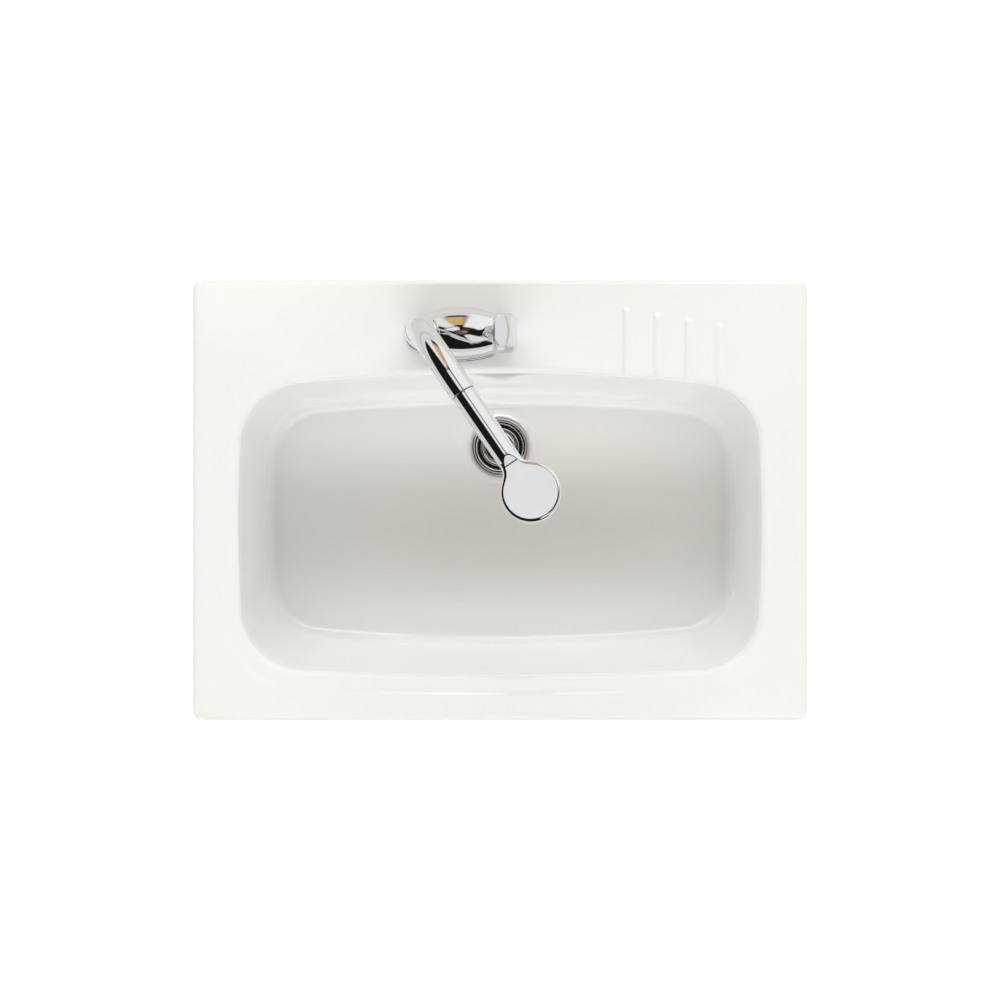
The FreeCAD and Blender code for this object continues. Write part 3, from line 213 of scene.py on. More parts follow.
def strip_faces(rings, around, closed=False):
    """Quads between rings of points that are stored one after another."""
    index = np.arange(rings * around).reshape(rings, around)
    lower = index if closed else index[:-1]
    upper = np.roll(index, -1, 0) if closed else index[1:]
    quads = np.stack((lower, np.roll(lower, -1, 1), np.roll(upper, -1, 1), upper), -1)
    return quads.reshape(-1, 4)


def end_faces(rings, around):
    """Faces that close the first and the last ring."""
    last = around * rings
    return [list(range(around))[::-1], list(range(last - around, last))]


# Ceramic basin: rings of points from the waste hole out over the bowl and deck and back underneath
def bowed_half(half, back, front, bows, corner_r):
    """Arcs of the right half of an outline, from the back's middle round to the front's.

    Each arc is its centre, its radius and its two angles.
    """
    side_bow, back_bow, front_bow = bows
    middle = (back + front) / 2
    side_r = (((back - front) / 2) ** 2 + side_bow ** 2) / (2 * side_bow)
    back_r = (half ** 2 + back_bow ** 2) / (2 * back_bow)
    front_r = (half ** 2 + front_bow ** 2) / (2 * front_bow)
    side_c = np.array((half - side_r, middle))
    back_c = np.array((0.0, back - back_r))
    front_c = np.array((0.0, front + front_r))

    def corner(end_c, end_r):
        to_side = side_c - end_c
        gap = np.hypot(*to_side)
        along = ((end_r - corner_r) ** 2 - (side_r - corner_r) ** 2 + gap ** 2) / (2 * gap)
        across = math.sqrt((end_r - corner_r) ** 2 - along ** 2)
        direction = to_side / gap
        foot = end_c + direction * along
        normal = np.array((-direction[1], direction[0]))
        return max(foot + normal * across, foot - normal * across, key=lambda p: p[0])

    def heading(centre, origin):
        return math.atan2(*(centre - origin)[::-1])

    back_corner, front_corner = corner(back_c, back_r), corner(front_c, front_r)
    turns = (math.pi / 2, heading(back_corner, back_c), heading(back_corner, side_c),
             heading(front_corner, side_c), heading(front_corner, front_c), -math.pi / 2)
    centres = (back_c, back_corner, side_c, front_corner, front_c)
    radii = (back_r, corner_r, side_r, corner_r, front_r)
    return [(c, r, turns[i], turns[i + 1]) for i, (c, r) in enumerate(zip(centres, radii))]


def arc_points(arc, share):
    """Points and outward normals at the given shares of an arc."""
    centre, radius, start, end = arc
    angle = start + (end - start) * share
    normal = np.stack((np.cos(angle), np.sin(angle)), -1)
    return centre + radius * normal, normal


def outline(arcs, shares):
    """Points and outward normals all the way round, at the given shares of each arc of the right half."""
    points, normals = zip(*(arc_points(arc, share) for arc, share in zip(arcs, shares)))
    points, normals = np.concatenate(points), np.concatenate(normals)
    mirror = np.array((-1.0, 1.0))
    return (np.concatenate((points, (points * mirror)[-2:0:-1])),
            np.concatenate((normals, (normals * mirror)[-2:0:-1])))


def slab_distance(p, half_x, half_y, corner_r):
    q = np.abs(p) - np.array((half_x - corner_r, half_y - corner_r))
    return np.minimum(q.max(-1), 0) + np.hypot(*np.maximum(q, 0).T) - corner_r


def ray_to_slab(p, direction, half_x, half_y, corner_r):
    """Where rays from inside a slab's outline meet it, found by halving."""
    farthest, halvings = 300.0, 40
    low, high = np.zeros(len(p)), np.full(len(p), farthest)
    for _ in range(halvings):
        middle = (low + high) / 2
        inside = slab_distance(p + direction * middle[:, None], half_x, half_y, corner_r) < 0
        low, high = np.where(inside, middle, low), np.where(inside, high, middle)
    return p + direction * low[:, None]


def slab_normal(p, *slab):
    step = 1e-4
    slopes = [slab_distance(p + move, *slab) - slab_distance(p - move, *slab) for move in step * np.eye(2)]
    g = np.stack(slopes, -1)
    return g / np.linalg.norm(g, axis=1)[:, None]


def shares_of(arcs):
    """Sampling along each arc: fine under the ribs and where a ray meets the deck's outer corner."""
    def spread(start, end, count):
        return np.linspace(start, end, count, endpoint=False)

    rib_start = (RIB_X - 3 * RIB_R) / (arcs[0][1] * math.cos(arcs[0][3]))
    back = (spread(0, rib_start, PLAIN_BACK_POINTS), spread(rib_start, 1, RIBBED_BACK_POINTS))
    shares = [np.concatenate(back), spread(0, 1, BACK_CORNER_POINTS), spread(0, 1, SIDE_POINTS),
              spread(0, 1, FRONT_CORNER_POINTS), np.linspace(0, 1, FRONT_POINTS)]
    trial = np.linspace(0, 1, 2000)
    near_corner = np.linspace(-RIM_CORNER_SHARE, RIM_CORNER_SHARE, RIM_CORNER_POINTS)
    for arc, side in ((1, 1), (3, -1)):
        points, normal = arc_points(arcs[arc], trial)
        hit = ray_to_slab(points, normal, HALF_X, HALF_Y, RIM_CORNER_R)
        best = trial[np.argmin(np.linalg.norm(hit - (HALF_X, side * HALF_Y), axis=1))]
        shares[arc] = np.sort(np.concatenate((shares[arc], best + near_corner)))
    return shares


def smooth_step(low, high, value):
    t = np.clip((value - low) / (high - low), 0, 1)
    return t * t * (3 - 2 * t)


def floor_height(y):
    return FLOOR_Z - (y - WASTE_Y) * math.tan(FLOOR_FALL)


def lift(points, z):
    return np.column_stack((points, np.broadcast_to(z, len(points))))


def corner_rings(corner, one, other, radius, count):
    """Rings of an arc of the given radius in the corner between two directions, from one to the other."""
    half = np.arccos(np.clip((one * other).sum(1), -1, 1)) / 2
    reach = (radius / np.tan(half))[:, None]
    bisector = one + other
    bisector /= np.linalg.norm(bisector, axis=1)[:, None]
    centre = corner + bisector * (radius / np.sin(half))[:, None]
    start, end = corner + one * reach - centre, corner + other * reach - centre
    turn = (math.pi - 2 * half)[:, None]
    return [centre + (start * np.sin((1 - t) * turn) + end * np.sin(t * turn)) / np.sin(turn)
            for t in np.linspace(0, 1, count)]


def between(a, b, count):
    """Rings on the way from one ring to another, without the first."""
    return [a + (b - a) * t for t in np.linspace(0, 1, count + 1)[1:]]


def rib_height(p):
    """Height of the ribs above the deck at points of the plane."""
    height = np.zeros(len(p))
    for i in range(RIB_COUNT):
        x, back = RIB_X + i * RIB_PITCH, RIB_BACK_Y - i * RIB_STAGGER
        away = np.hypot(p[:, 0] - x, np.maximum(p[:, 1] - back, 0))
        crown = np.sqrt(np.maximum(RIB_R ** 2 - away ** 2, 0)) - RIB_R + RIB_HEIGHT
        eased = (crown + np.hypot(crown, RIB_EASE)) / 2 * (1 - smooth_step(RIB_R, RIB_FOOT_R, away))
        height = np.maximum(height, eased)
    return np.where(p[:, 1] > 0, height, 0)


def basin_rings():
    """All rings of the basin, with the numbers of the first bare ring and of the first one after."""
    mouth_arcs, floor_arcs = bowed_half(**MOUTH), bowed_half(**FLOOR)
    shares = shares_of(mouth_arcs)
    mouth, normal = outline(mouth_arcs, shares)
    floor, floor_normal = outline(floor_arcs, shares)
    flat = lift(normal, 0.0)
    waste = np.array((0.0, WASTE_Y))

    def circle(radius, z):
        way = floor - waste
        return lift(waste + radius * way / np.linalg.norm(way, axis=1)[:, None], z)

    def dished(ring):
        """Sinks a ring of floor points towards the waste."""
        depth = DISH_R - np.linalg.norm(ring[:, :2] - waste, axis=1)
        ring[:, 2] -= DISH_SLOPE * (depth + np.hypot(depth, DISH_EASE)) / 2
        return ring

    def floor_rings(outer):
        """Floor from the waste hole to the wall's rounding, level and with close rings round the waste."""
        inner = circle(WASTE_HOLE_R, 0)
        reach = np.linalg.norm(outer[:, :2] - inner[:, :2], axis=1)
        near = np.minimum(DISH_R - WASTE_HOLE_R + DISH_MARGIN, DISH_SHARE * reach) / reach
        ring_shares = [near * t for t in np.linspace(0, 1, DISH_RINGS)]
        ring_shares += [near + (1 - near) * t for t in np.linspace(0, 1, FLOOR_RINGS)[1:-1]]
        for share in ring_shares:
            flat_ring = (inner + (outer - inner) * share[:, None])[:, :2]
            away = np.linalg.norm(flat_ring - waste, axis=1)
            tilt = (floor_height(flat_ring[:, 1]) - FLOOR_Z) * smooth_step(LEVEL_R, FALL_R, away)
            yield lift(flat_ring, FLOOR_Z + tilt)

    def wall_parts(grow, drop, top, edge_r):
        """Head and upward direction of the bowl's wall, and the rounding at its foot."""
        foot = lift(floor + grow * floor_normal, floor_height(floor[:, 1]) - drop)
        head = lift(mouth + grow * normal, top)
        up = (head - foot) / np.linalg.norm(head - foot, axis=1)[:, None]
        inward = np.column_stack((-floor_normal, floor_normal[:, 1] * math.tan(FLOOR_FALL)))
        inward /= np.linalg.norm(inward, axis=1)[:, None]
        return head, up, corner_rings(foot, inward, up, edge_r, FILLET_RINGS)

    # bowl
    head, up, fillet = wall_parts(0, 0, DECK_Z, FLOOR_EDGE_R)
    rings = [circle(WASTE_HOLE_R, FLOOR_Z - BOSS_LOW)]
    rings += [dished(ring) for ring in list(floor_rings(fillet[0])) + fillet]
    front_share = np.clip((LIP_FADE_Y - mouth[:, 1]) / (LIP_FADE_Y - LIP_FRONT_Y), 0, 1)
    lip = LIP_DEPTH * front_share ** LIP_POWER
    edge = head - up * (lip / up[:, 2])[:, None]
    rounding = corner_rings(edge, -up, flat, MOUTH_EDGE_R, MOUTH_EDGE_RINGS)
    rings += between(fillet[-1], rounding[0], WALL_RINGS)[:-1]
    first_edge = len(rings)
    rings += rounding

    # deck, with close rings where the lip's outer edge steps up
    inner_edge = ray_to_slab(mouth, normal, HALF_X - RIM_EDGE_R, HALF_Y - RIM_EDGE_R,
                             RIM_CORNER_R - RIM_EDGE_R)
    reach = np.linalg.norm(inner_edge - mouth, axis=1)
    start = np.linalg.norm((rounding[-1] - head)[:, :2], axis=1)
    offsets = [start + (LIP_FLAT - start) * t for t in (0.33, 0.67, 1)]
    offsets += [np.full(len(mouth), offset) for offset in LIP_RINGS]
    offsets += [LIP_RINGS[-1] + (reach - LIP_RINGS[-1]) * t for t in np.linspace(0, 1, DECK_RINGS)[1:]]
    for offset in offsets:
        sunk = lip * (1 - smooth_step(*LIP_STEP, offset))
        rings.append(lift(mouth + normal * offset[:, None], DECK_Z - sunk))
    last_deck = len(rings)

    # outer edge, skirt and foot
    outward = slab_normal(inner_edge, HALF_X, HALF_Y, RIM_CORNER_R)
    for angle in np.linspace(0, math.pi / 2, RIM_EDGE_RINGS)[1:]:
        rim = inner_edge + outward * RIM_EDGE_R * math.sin(angle)
        rings.append(lift(rim, DECK_Z - RIM_EDGE_R * (1 - math.cos(angle))))
    side = inner_edge + outward * RIM_EDGE_R
    rings += [lift(side, z) for z in SKIRT_LEVELS]
    bisque_start = len(rings)
    rings += [lift(side - outward * FOOT_EDGE, FOOT_EDGE), lift(side - outward * FOOT_CUT, 0.0)]
    inner = ray_to_slab(mouth, normal, HALF_X - SKIRT_WALL, HALF_Y - SKIRT_WALL, RIM_CORNER_R)
    outward = slab_normal(inner, HALF_X - SKIRT_WALL, HALF_Y - SKIRT_WALL, RIM_CORNER_R)
    rings += [lift(inner + outward * FOOT_CUT, 0.0), lift(inner + outward * FOOT_EDGE, FOOT_EDGE)]
    bisque_end = len(rings)

    # underside
    rings += [lift(inner, z) for z in INSIDE_LEVELS]
    for angle in np.linspace(0, math.pi / 2, SMALL_EDGE_RINGS)[1:]:
        shelf_edge = inner - outward * UNDER_CORNER_R * (1 - math.cos(angle))
        rings.append(lift(shelf_edge, INSIDE_LEVELS[-1] + UNDER_CORNER_R * math.sin(angle)))
    head, up, fillet = wall_parts(BOWL_WALL, BOWL_WALL, DECK_UNDER_Z + WALL_OVERRUN, UNDER_EDGE_R)
    shelf = head - up * (WALL_OVERRUN / up[:, 2])[:, None]
    root = corner_rings(shelf, flat, -up, WALL_ROOT_R, SMALL_EDGE_RINGS)
    rings += between(rings[-1], root[0], WALL_RINGS)[:-1] + root
    rings += between(root[-1], fillet[-1], WALL_RINGS)[:-1] + fillet[::-1]
    boss_top = circle(BOSS_R + BOSS_FLARE, 0)
    boss_top[:, 2] = floor_height(boss_top[:, 1]) - BOWL_WALL
    rings += between(fillet[0], boss_top, WALL_RINGS)
    rings += [circle(BOSS_R, FLOOR_Z - BOWL_WALL - BOSS_FLARE),
              circle(BOSS_R, FLOOR_Z - BOSS_LOW + BOSS_EDGE),
              circle(BOSS_R - BOSS_EDGE, FLOOR_Z - BOSS_LOW), circle(SEAL_FACE_R, FLOOR_Z - BOSS_LOW)]

    # ribs stand on the deck and run over the bowl's edge
    for i in range(first_edge, last_deck):
        share = min(1.0, ((i - first_edge) / len(rounding)) ** RIB_RISE_POWER)
        rings[i][:, 2] += share * rib_height(rings[i][:, :2])
    return rings, bisque_start, bisque_end


def make_basin():
    rings, bisque_start, bisque_end = basin_rings()
    around = len(rings[0])
    faces = strip_faces(len(rings), around, closed=True)[:, ::-1]
    basin = new_object("basin", np.concatenate(rings), faces)
    ring_of_face = np.repeat(np.arange(len(rings)), around)
    finish_of_face = np.where(ring_of_face < bisque_start - 1, 0, np.where(ring_of_face < bisque_end, 1, 2))
    for material in (glaze, bisque, under_glaze):
        basin.data.materials.append(material)
    basin.data.polygons.foreach_set("material_index", finish_of_face.astype(np.int32))

    # the tap's hole is cut with a flat-shaded round bar
    angle = full_circle(TUBE_POINTS)
    disc = np.column_stack((TAP_HOLE_R * np.cos(angle), TAP_HOLE_R * np.sin(angle)))
    bar = np.concatenate((lift(disc, TAP_HOLE_LOW), lift(disc, TAP_HOLE_HIGH)))
    bar_faces = strip_faces(2, len(angle)).tolist() + end_faces(2, len(angle))
    tool = new_object("tap_hole_tool", bar, bar_faces, on_tap)
    tool.data.shade_flat()
    tool.data.materials.append(glaze)
    cut = basin.modifiers.new("tap_hole", "BOOLEAN")
    cut.operation, cut.solver, cut.object = "DIFFERENCE", "EXACT", tool
    graph = bpy.context.evaluated_depsgraph_get()
    bored = bpy.data.meshes.new_from_object(basin.evaluated_get(graph))
    basin.modifiers.clear()
    basin.data = bored
    bpy.data.objects.remove(tool)
    piece(basin, "sink", "glazed_ceramic", "sink_basin")
    return basin


# Surfaces from distance fields, for cast pieces with soft blends
def join(a, b, blend):
    h = np.maximum(blend - np.abs(a - b), 0) / blend
    return np.minimum(a, b) - h * h * blend / 4


def meet(a, b, blend):
    return -join(-a, -b, blend)


def rod(p, centre, axis, radius, low, high, blend=0.6):
    """Distance from a round bar along X or Z."""
    others = [i for i in range(3) if i != axis]
    across = np.hypot(p[:, others[0]] - centre[others[0]], p[:, others[1]] - centre[others[1]]) - radius
    along = p[:, axis] - centre[axis]
    return meet(across, np.maximum(along - high, low - along), blend)


def rounded(across, along, radius):
    """Distance from a plate whose outline and thickness are given as distances, with rounded edges."""
    q = np.stack((across, along), -1) + radius
    return np.minimum(q.max(1), 0) + np.linalg.norm(np.maximum(q, 0), axis=1) - radius


def gradient(field, p):
    step = 1e-3
    return np.stack([field(p + step * axis) - field(p - step * axis) for axis in np.eye(3)], -1) / (2 * step)


def surface_quads(inside, index):
    """Quads between the cells round each grid edge that crosses the surface."""
    quads = []
    for axis in range(3):
        b, c = (axis + 1) % 3, (axis + 2) % 3
        near, far = [slice(1, -1)] * 3, [slice(1, -1)] * 3
        near[axis], far[axis] = slice(0, -1), slice(1, None)
        starts, ends = inside[tuple(near)], inside[tuple(far)]
        for outward in (True, False):
            cell = np.argwhere((starts & ~ends) if outward else (ends & ~starts))
            loop = []
            for db, dc in ((0, 0), (1, 0), (1, 1), (0, 1)):
                shifted = cell.copy()
                shifted[:, b] += db
                shifted[:, c] += dc
                loop.append(index[tuple(shifted.T)])
            quads.append(np.stack(loop if outward else loop[::-1], -1))
    return np.concatenate(quads)


def field_mesh(field, low, high, step):
    """Closed mesh of the surface where a field is zero: points drawn onto it, quads and exact normals."""
    turns, smooth_turns, flattest, longest_move = 9, 6, 0.05, 0.7
    counts = [int(math.ceil((h - l) / step)) + 1 for l, h in zip(low, high)]
    axes = [l + step * np.arange(n) for l, n in zip(low, counts)]
    grid = np.stack(np.meshgrid(*axes, indexing="ij"), -1)
    inside = field(grid.reshape(-1, 3)).reshape(counts) < 0
    cells = tuple(n - 1 for n in counts)
    total = np.zeros(cells, int)
    for corner in itertools.product((0, 1), repeat=3):
        total += inside[tuple(slice(c, c + n) for c, n in zip(corner, cells))]
    mixed = (total > 0) & (total < 8)
    index = np.full(cells, -1)
    index[mixed] = np.arange(mixed.sum())
    points = (np.argwhere(mixed) + 0.5) * step + np.array(low)
    quads = surface_quads(inside, index)
    pairs = np.concatenate([quads[:, [i, (i + 1) % 4]] for i in range(4)])
    one, other = pairs.T
    degree = np.bincount(pairs.ravel(), minlength=len(points))[:, None]
    for turn in range(turns):
        if turn < smooth_turns:
            pull = [np.bincount(one, along[other], len(points)) + np.bincount(other, along[one], len(points))
                    for along in points.T]
            points = points + 0.5 * (np.stack(pull, -1) / degree - points)
        g = gradient(field, points)
        size = np.maximum((g * g).sum(1), flattest)
        move = g * (field(points) / size)[:, None]
        reach = np.maximum(np.linalg.norm(move, axis=1) / (longest_move * step), 1)[:, None]
        points = points - move / reach
    g = gradient(field, points)
    return points, quads, g / np.maximum(np.linalg.norm(g, axis=1), 1e-6)[:, None]


def teardrop(x, y):
    """Distance from the tap body's outline: a tail circle that runs into two flank arcs."""
    y = np.abs(y)
    tail = np.hypot(x - COLUMN_X, y) - TAIL_R
    flank = np.hypot(x - FLANK_X, y - FLANK_Y) - FLANK_R
    behind = (COLUMN_X - FLANK_X) * (y - FLANK_Y) + FLANK_Y * (x - FLANK_X) > 0
    return np.where(behind, tail, flank)


def tap_body_field(p):
    x, y, z = p.T
    body = teardrop(x, np.hypot(y, np.maximum(z - AXIS_Z, 0)))
    body = meet(body, x - BODY_END, blend=1.6)
    body = meet(body, BODY_LOW - z, blend=0.6)
    foot = meet(teardrop(x, y) - FOOT_FLARE, x - BODY_END, blend=1.0)
    foot = meet(foot, np.abs(z - FOOT_MIDDLE) - FOOT_HALF, blend=1.2)
    body = join(body, foot, blend=1.4)
    column = rod(p, (COLUMN_X, 0, 0), Z_AXIS, COLUMN_R, COLUMN_LOW, COLUMN_TOP, blend=1.4)
    body = join(body, column, blend=5.0)
    body = np.minimum(body, rod(p, *TAP_SPIGOT))
    for bore in TAP_BORES:
        body = meet(body, -rod(p, *bore), blend=0.5)
    return body


def polygon_distance(x, z, corners):
    """Signed distance in the plane from a polygon that runs clockwise or back."""
    best = np.full(len(x), 1e9)
    inside = np.zeros(len(x), bool)
    for (ax, az), (bx, bz) in zip(corners, corners[1:] + corners[:1]):
        ex, ez, px, pz = bx - ax, bz - az, x - ax, z - az
        t = np.clip((px * ex + pz * ez) / (ex * ex + ez * ez), 0, 1)
        best = np.minimum(best, np.hypot(px - ex * t, pz - ez * t))
        if ez != 0:
            inside ^= ((az > z) != (bz > z)) & (px < ex * pz / ez)
    return np.where(inside, -best, best)


def lever_field(p):
    x, y, z = p.T
    z = z - AXIS_Z
    hub = rounded(np.hypot(y, z) - CAP_R, x - HUB_END, HUB_EDGE_R)
    slant = np.array((2 * CAP_R, HUB_LEAN)) / math.hypot(2 * CAP_R, HUB_LEAN)
    hub = meet(hub, -(slant[0] * (x - HUB_TOP_X) + slant[1] * (z - CAP_R)), blend=1.2)
    paddle = polygon_distance(x, z, PADDLE_CORNERS) - PADDLE_ROUND
    crown = np.linalg.norm(np.stack((x - CROWN_X, y, z - CROWN_Z), -1), axis=1) - CROWN_R
    paddle = meet(paddle, crown, blend=0.8)
    plan = rounded(np.maximum(x - PADDLE_RIGHT, PADDLE_LEFT - x), np.abs(y) - PADDLE_HALF, PADDLE_CORNER_R)
    left_edge = np.hypot(x - LEFT_EDGE_X - LEFT_EDGE_R, y) - LEFT_EDGE_R
    paddle = meet(paddle, np.maximum(plan, left_edge), blend=1.6)
    lever = join(hub, paddle, blend=4.0)
    lever = meet(lever, PIVOT_CLEAR_R - np.linalg.norm(p - PIVOT, axis=1), blend=0.8)
    socket = np.maximum(np.maximum(np.abs(y), np.abs(z)) - SOCKET_HALF, x - SOCKET_END)
    lever = meet(lever, -socket, blend=0.4)
    return meet(lever, -rod(p, *GRUB_BORE), blend=0.4)


def handset_field(p):
    """The bevels at the handle's end are so shallow that only narrow blends keep them flat."""
    x, y, z = p.T
    slope = (HANDLE_TIP_R - HANDLE_ROOT_R) / (HANDLE_LENGTH - SEAM_GAP)
    handle = (np.hypot(y, z) - (HANDLE_ROOT_R + slope * (x - SEAM_GAP))) / math.hypot(1, slope)
    handle = meet(handle, np.maximum(SEAM_GAP - x, x - HANDLE_LENGTH - HANDLE_OVERRUN), blend=0.9)
    for side, level in ((1, HEAD_TOP), (-1, -HEAD_BOTTOM)):
        fall = math.atan2(HANDLE_ROOT_R - level, BEVEL_END - BEVEL_START)
        bevel = math.sin(fall) * (x - BEVEL_END) + math.cos(fall) * (side * z - level)
        handle = meet(handle, bevel, blend=0.35)
    web = np.maximum(np.abs(y) - WEB_HALF, np.maximum(WEB_START - x, x - HEAD_X))
    plan = join(np.hypot(x - HEAD_X, y) - HEAD_R, web, WEB_BLEND)
    middle, half = (HEAD_TOP + HEAD_BOTTOM) / 2, (HEAD_TOP - HEAD_BOTTOM) / 2
    shell = join(handle, rounded(plan, np.abs(z - middle) - half, HEAD_EDGE_R), blend=0.3)
    for bore in (SHANK_BORE, WATER_BORE, PLATE_BORE, CHAMBER_BORE):
        shell = meet(shell, -rod(p, *bore), blend=0.4)
    return shell


def hex_nut_field(flats, bore_r, low, high):
    tilt = math.pi / 6

    def field(p):
        x, y, z = p.T
        sides = [np.abs(x * math.cos(a) + y * math.sin(a)) for a in (math.pi / 2, tilt, -tilt)]
        hexagon = np.max(sides, axis=0) - flats / 2
        reach = np.hypot(x, y)
        above = np.abs(z - (low + high) / 2) - (high - low) / 2
        chamfer = (above + (reach - flats / 2 * NUT_CORNER_SHARE) * math.tan(tilt)) * math.cos(tilt)
        nut = meet(hexagon, np.maximum(z - high, low - z), blend=0.5)
        nut = meet(nut, chamfer, blend=0.4)
        return meet(nut, bore_r - reach, blend=0.5)
    return field


def grid_field(p):
    """Distance from the cross of two bars in the waste."""
    x, y, z = np.abs(p - (0, 0, GRID_Z)).T
    along_x = np.maximum(np.maximum(y - GRID_HALF, z - GRID_RISE), x - GRID_REACH)
    along_y = np.maximum(np.maximum(x - GRID_HALF, z - GRID_RISE), y - GRID_REACH)
    return join(along_x, along_y, blend=2.5)


def field_piece(name, field, low, high, step, place):
    points, quads, normals = field_mesh(field, low, high, step)
    return new_object(name, points, quads, place, normals)


# Swept and turned pieces
def neck_frame(s):
    """Point and direction along the neck's middle line, in the column's frame."""
    if s <= NECK_STRAIGHT:
        return np.array((0, 0, NECK_BASE + s)), np.array((0.0, 0, 1))
    if s <= NECK_STRAIGHT + BEND_LENGTH:
        turn = (s - NECK_STRAIGHT) / BEND_R
        return (np.array((BEND_R * (1 - math.cos(turn)), 0, BEND_Z + BEND_R * math.sin(turn))),
                np.array((math.sin(turn), 0, math.cos(turn))))
    way = np.array((math.cos(RISE), 0, math.sin(RISE)))
    return SEAM - way * (NECK_LENGTH - s), way


def make_neck():
    """The neck's profile is distance along its middle line and radius: outside up, then the bore back."""
    end = NECK_LENGTH
    profile = [(0, 10.6), (0, 12.9), (0.2, 13.3), (0.6, 13.5), (3.0, 13.5), (6.2, 13.5), (6.7, 13.35),
               (7.0, 13.0), (7.2, 12.65), (7.7, 12.5)]
    profile += [(s, NECK_R) for s in np.linspace(9, end - 1.2, 84)]
    profile += [(end - 0.7, NECK_R), (end - 0.25, 12.35), (end, 12.0), (end, 10.4), (end - 0.4, 10.0)]
    profile += [(s, NECK_BORE_R) for s in np.linspace(end - 2, 2, 60)] + [(0.5, 10.1)]
    angle = full_circle(TUBE_POINTS)
    across = np.array((0.0, 1, 0))
    rings = []
    for s, radius in profile:
        centre, way = neck_frame(s)
        spokes = np.outer(np.cos(angle), across) + np.outer(np.sin(angle), np.cross(way, across))
        rings.append(centre + radius * spokes)
    faces = strip_faces(len(rings), len(angle), closed=True)
    neck = new_object("neck_tube", np.concatenate(rings), faces, on_column)
    piece(neck, "spout", "chrome_plate", "spout_neck")


def turned(name, profile, place, around=128, wobble=None, solid=False):
    """Turn a (radius, height) profile about Z; wobble moves the radius, and a solid piece has closed ends."""
    angle = full_circle(around)
    rings = []
    for radius, height in profile:
        r = radius + (wobble(angle, height, radius) if wobble else 0)
        rings.append(np.column_stack((r * np.cos(angle), r * np.sin(angle), np.full(around, height))))
    faces = strip_faces(len(rings), around, closed=not solid).tolist()
    if solid:
        faces += end_faces(len(rings), around)
    return new_object(name, np.concatenate(rings), faces, place)


def thread_wave(pitch, depth):
    """Rounded thread that only cuts into the nominal radius."""
    steepness, crest = 3.2, 0.3

    def wobble(angle, height, radius):
        turn = (height / pitch - angle / (2 * math.pi)) % 1.0
        return -depth * np.clip(np.abs(turn - 0.5) * steepness - crest, 0, 1)
    return wobble


def waste_thread(angle, height, radius):
    """Thread on the waste's tail, between its groove and its seal."""
    on_tail = TAIL_THREAD_R[0] < radius < TAIL_THREAD_R[1] and TAIL_THREAD_Z[0] < height < TAIL_THREAD_Z[1]
    return thread_wave(TAIL_PITCH, TAIL_THREAD_DEPTH)(angle, height, radius) if on_tail else 0.0


def threaded(profile, step=0.2):
    """The profile with its long upright runs cut into short steps, so that a thread can follow them."""
    out = []
    for a, b in zip(profile, profile[1:]):
        count = max(1, int(abs(b[1] - a[1]) / step)) if abs(b[0] - a[0]) < 0.01 else 1
        out += [(a[0] + (b[0] - a[0]) * i / count, a[1] + (b[1] - a[1]) * i / count) for i in range(count)]
    return out + [profile[-1]]


def make_waste():
    """The waste's profile is radius and height over the floor: rim, seat, bore and tail."""
    def dish(radius):
        return (radius - DISH_R) * DISH_SLOPE

    profile = [(28.4, dish(28.4) + 1.4), (29.6, dish(29.6) + 1.5), (30.0, dish(30) + 1.9), (30.0, -2.2),
               (29.8, -1.6), (29.4, -1.3), (28.8, -1.22), (27.0, -1.3), (25.4, -1.42), (24.8, -1.6),
               (24.4, -2.0), (24.0, -2.7)]
    profile += [(23.0, -4.3), (22.0, -5.6), (21.5, -6.2), (21.2, -6.5), (20.8, dish(20.8) + 3.5),
                (20.5, dish(20.6) + 3.2), (17.6, -10.3), (17.5, -10.9)]
    profile += [(17.5, z) for z in np.linspace(-14, -78, 16)] + [(17.5, -79.4), (18.1, -80.0)]
    profile += [(20.3, -80.0), (20.95, -79.3), (20.95, -38.4), (20.7, -38.0), (20.2, -37.7), (20.2, -36.3),
                (20.7, -36.0), (20.94, -35.6), (20.94, -11.5), (21.2, -10.1), (23.0, dish(23) + 1.4)]
    waste = turned("waste_fitting", threaded(profile), on_waste, around=160, wobble=waste_thread)
    piece(waste, "sink", "chrome_plate", "waste_body")
    grid = field_piece("waste_grid", grid_field, (-19.5, -19.5, -35.0), (19.5, 19.5, -29.0), 0.5, on_waste)
    piece(grid, "sink", "chrome_plate")


def make_stopper():
    """The stopper's profile is radius and height over the floor: underside, rim, groove, cone, knob."""
    profile = [(AXIS_GAP, -10.2), (12.6, -10.2), (13.0, -9.8), (13.0, -5.6), (20.0, -5.6), (20.4, -5.2),
               (20.4, -4.3), (20.2, -3.75), (19.6, -3.45), (18.9, -3.4), (18.1, -3.45), (17.85, -3.7),
               (17.8, -4.2), (17.5, -4.4), (16.0, -4.4), (15.65, -4.2), (15.6, -3.6), (15.3, -3.37)]
    for radius in (14.0, 12.0, 10.0, 8.0, 6.0, 4.6):
        profile.append((radius, CONE_LOW + CONE_RISE * (CONE_R - radius) / CONE_RUN))
    profile += [(3.8, -1.75), (3.35, -1.4), (3.2, -0.6), (3.2, 1.4), (3.45, 2.1), (4.2, 2.9), (4.55, 3.4),
                (4.6, 3.9), (4.45, 4.5), (4.0, 4.85), (3.2, 5.0), (AXIS_GAP, 5.0)]
    cap = turned("stopper_button", profile, on_waste, solid=True)
    piece(cap, "stopper", "chrome_plate", "stopper_cap")


def over_node(node):
    """Lowest and highest level of a node's box, and a placer that puts points over its middle."""
    low, high = (np.array(corner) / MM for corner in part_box(node))
    middle = (low + high) / 2

    def place(points):
        return points + (middle[0], middle[1], 0)
    return low[2], high[2], place


